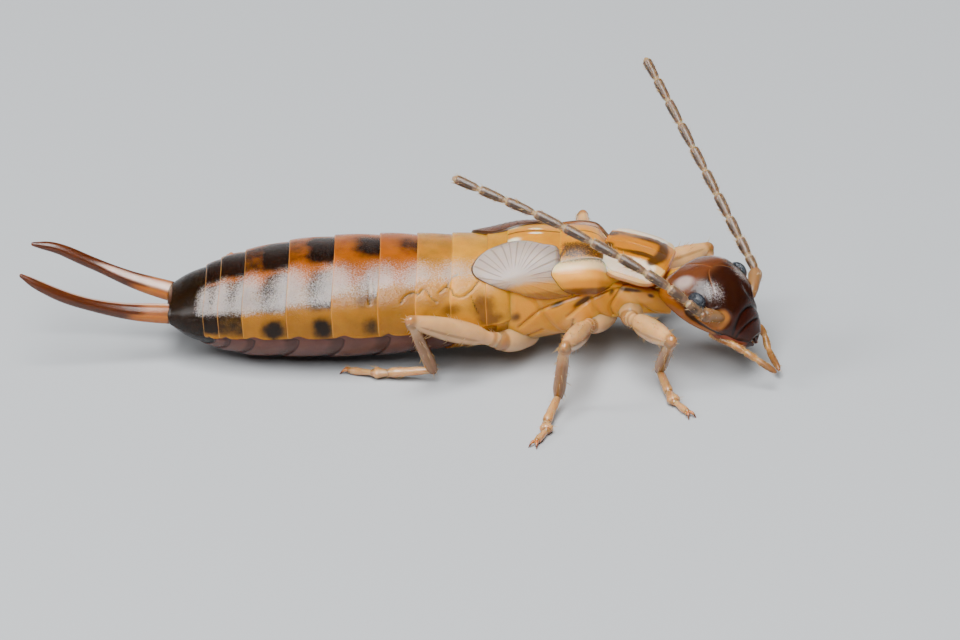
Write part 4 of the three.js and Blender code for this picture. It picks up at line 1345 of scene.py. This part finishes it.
# The bristles: fine stiff hairs of clear cuticle, each in its own socket, that lean towards the limb's
# end. They are drawn 0.012 to 0.016 mm thick at the root, thicker than real ones, so that they show.
def bristle_tree(material):
    """Hairs on a skin that has their way in its attribute lie, none with a tip out of bounds."""
    tree = bpy.data.node_groups.new("bristles", "GeometryNodeTree")
    tree.interface.new_socket("Skin", in_out="INPUT", socket_type="NodeSocketGeometry")
    for label in ("Per square metre", "Length", "Thickness", "Upright", "Lowest", "Highest"):
        tree.interface.new_socket(label, in_out="INPUT", socket_type="NodeSocketFloat")
    tree.interface.new_socket("Seed", in_out="INPUT", socket_type="NodeSocketInt")
    tree.interface.new_socket("Bristles", in_out="OUTPUT", socket_type="NodeSocketGeometry")
    given = add(tree, "NodeGroupInput").outputs
    roots = add(
        tree,
        "GeometryNodeDistributePointsOnFaces",
        {"Mesh": given["Skin"], "Density": given["Per square metre"], "Seed": given["Seed"]},
        distribute_method="RANDOM",
    )
    lie = add(tree, "GeometryNodeInputNamedAttribute", {"Name": "lie"}, data_type="FLOAT_VECTOR")
    stray = add(
        tree,
        "FunctionNodeRandomValue",
        {0: (-0.3, -0.3, -0.3), 1: (0.3, 0.3, 0.3)},
        data_type="FLOAT_VECTOR",
    )
    upright = {0: roots.outputs["Normal"], "Scale": given["Upright"]}
    raised = add(tree, "ShaderNodeVectorMath", upright, operation="SCALE")
    leaning = add(tree, "ShaderNodeVectorMath", {0: raised.outputs[0], 1: lie.outputs["Attribute"]})
    heading = add(tree, "ShaderNodeVectorMath", {0: leaning.outputs[0], 1: stray.outputs["Value"]})
    aimed = add(tree, "FunctionNodeAlignRotationToVector", {"Vector": heading.outputs[0]}, axis="Z")
    hair = add(
        tree,
        "GeometryNodeMeshCone",
        {"Vertices": 5, "Side Segments": 2, "Radius Bottom": given["Thickness"], "Depth": given["Length"]},
    )
    size = add(tree, "FunctionNodeRandomValue", {2: 0.6, 3: 1.1, "Seed": given["Seed"]}, data_type="FLOAT")
    along = add(tree, "ShaderNodeVectorMath", {0: heading.outputs[0]}, operation="NORMALIZE")
    longest = add(tree, "ShaderNodeMath", {0: given["Length"], 1: 1.1}, operation="MULTIPLY")
    stretch = {0: along.outputs[0], "Scale": longest.outputs[0]}
    whole = add(tree, "ShaderNodeVectorMath", stretch, operation="SCALE")
    root = add(tree, "GeometryNodeInputPosition").outputs["Position"]
    tip = add(tree, "ShaderNodeVectorMath", {0: root, 1: whole.outputs[0]})
    tip_height = add(tree, "ShaderNodeSeparateXYZ", {"Vector": tip.outputs[0]}).outputs["Z"]
    over = add(tree, "ShaderNodeMath", {0: tip_height, 1: given["Lowest"]}, operation="GREATER_THAN")
    under = add(tree, "ShaderNodeMath", {0: tip_height, 1: given["Highest"]}, operation="LESS_THAN")
    kept = add(tree, "ShaderNodeMath", {0: over.outputs[0], 1: under.outputs[0]}, operation="MULTIPLY")
    placed = add(
        tree,
        "GeometryNodeInstanceOnPoints",
        {
            "Points": roots.outputs["Points"],
            "Selection": kept.outputs[0],
            "Instance": hair.outputs["Mesh"],
            "Rotation": aimed.outputs["Rotation"],
            "Scale": size.outputs[1],
        },
    )
    real = add(tree, "GeometryNodeRealizeInstances", {"Geometry": placed.outputs["Instances"]})
    dressed = {"Geometry": real.outputs["Geometry"], "Material": material}
    done = add(tree, "GeometryNodeSetMaterial", dressed)
    add(tree, "NodeGroupOutput", {"Bristles": done.outputs["Geometry"]})
    return tree


# Clear horn-like hairs, straw-coloured, glossy.
hair_cuticle = cuticle("hair_cuticle", "#a88654", [], rough=0.3, pits=0.2, glow=0, grain=40.0)
hairs = bristle_tree(hair_cuticle)
TIP_ROOM = 2e-5
BRISTLES = {
    # for skins whose names start so: hairs per square millimetre, length, radius, upright, slot
    "flagellum": (130, 0.085, 0.0065, 0.75, "antenna"),
    "scape": (40, 0.08, 0.006, 0.7, "antenna"),
    "maxillary": (90, 0.075, 0.006, 0.7, "mouthparts"),
    "labial": (70, 0.065, 0.006, 0.7, "mouthparts"),
    "leg": (34, 0.14, 0.008, 0.8, "leg"),
}
for piece in [o for o in bpy.data.objects if o.type == "MESH" and "lie" in o.data.attributes]:
    kind = piece.name.split("_")[0]
    per_area, length, radius, upright, slot = BRISTLES[kind]
    coat = bpy.data.objects.new(f"{piece.name}_bristles", piece.data.copy())
    bpy.context.scene.collection.objects.link(coat)
    grower = coat.modifiers.new("bristles", "NODES")
    grower.node_group = hairs
    amounts = {"Per square metre": per_area * 1e6, "Length": length * 0.001, "Thickness": radius * 0.001}
    amounts |= {"Upright": upright, "Seed": len(piece.name) + ord(piece.name[-1])}
    amounts |= {"Lowest": TIP_ROOM, "Highest": cad_box[1].z - TIP_ROOM}
    for item in hairs.interface.items_tree:
        if item.in_out == "INPUT" and item.name in amounts:
            grower[item.identifier] = amounts[item.name]
    bpy.context.view_layer.update()
    grown = coat.evaluated_get(bpy.context.evaluated_depsgraph_get())
    mesh = bpy.data.meshes.new_from_object(grown)
    coat.modifiers.clear()
    coat.data = mesh
    finished(coat, hair_cuticle)
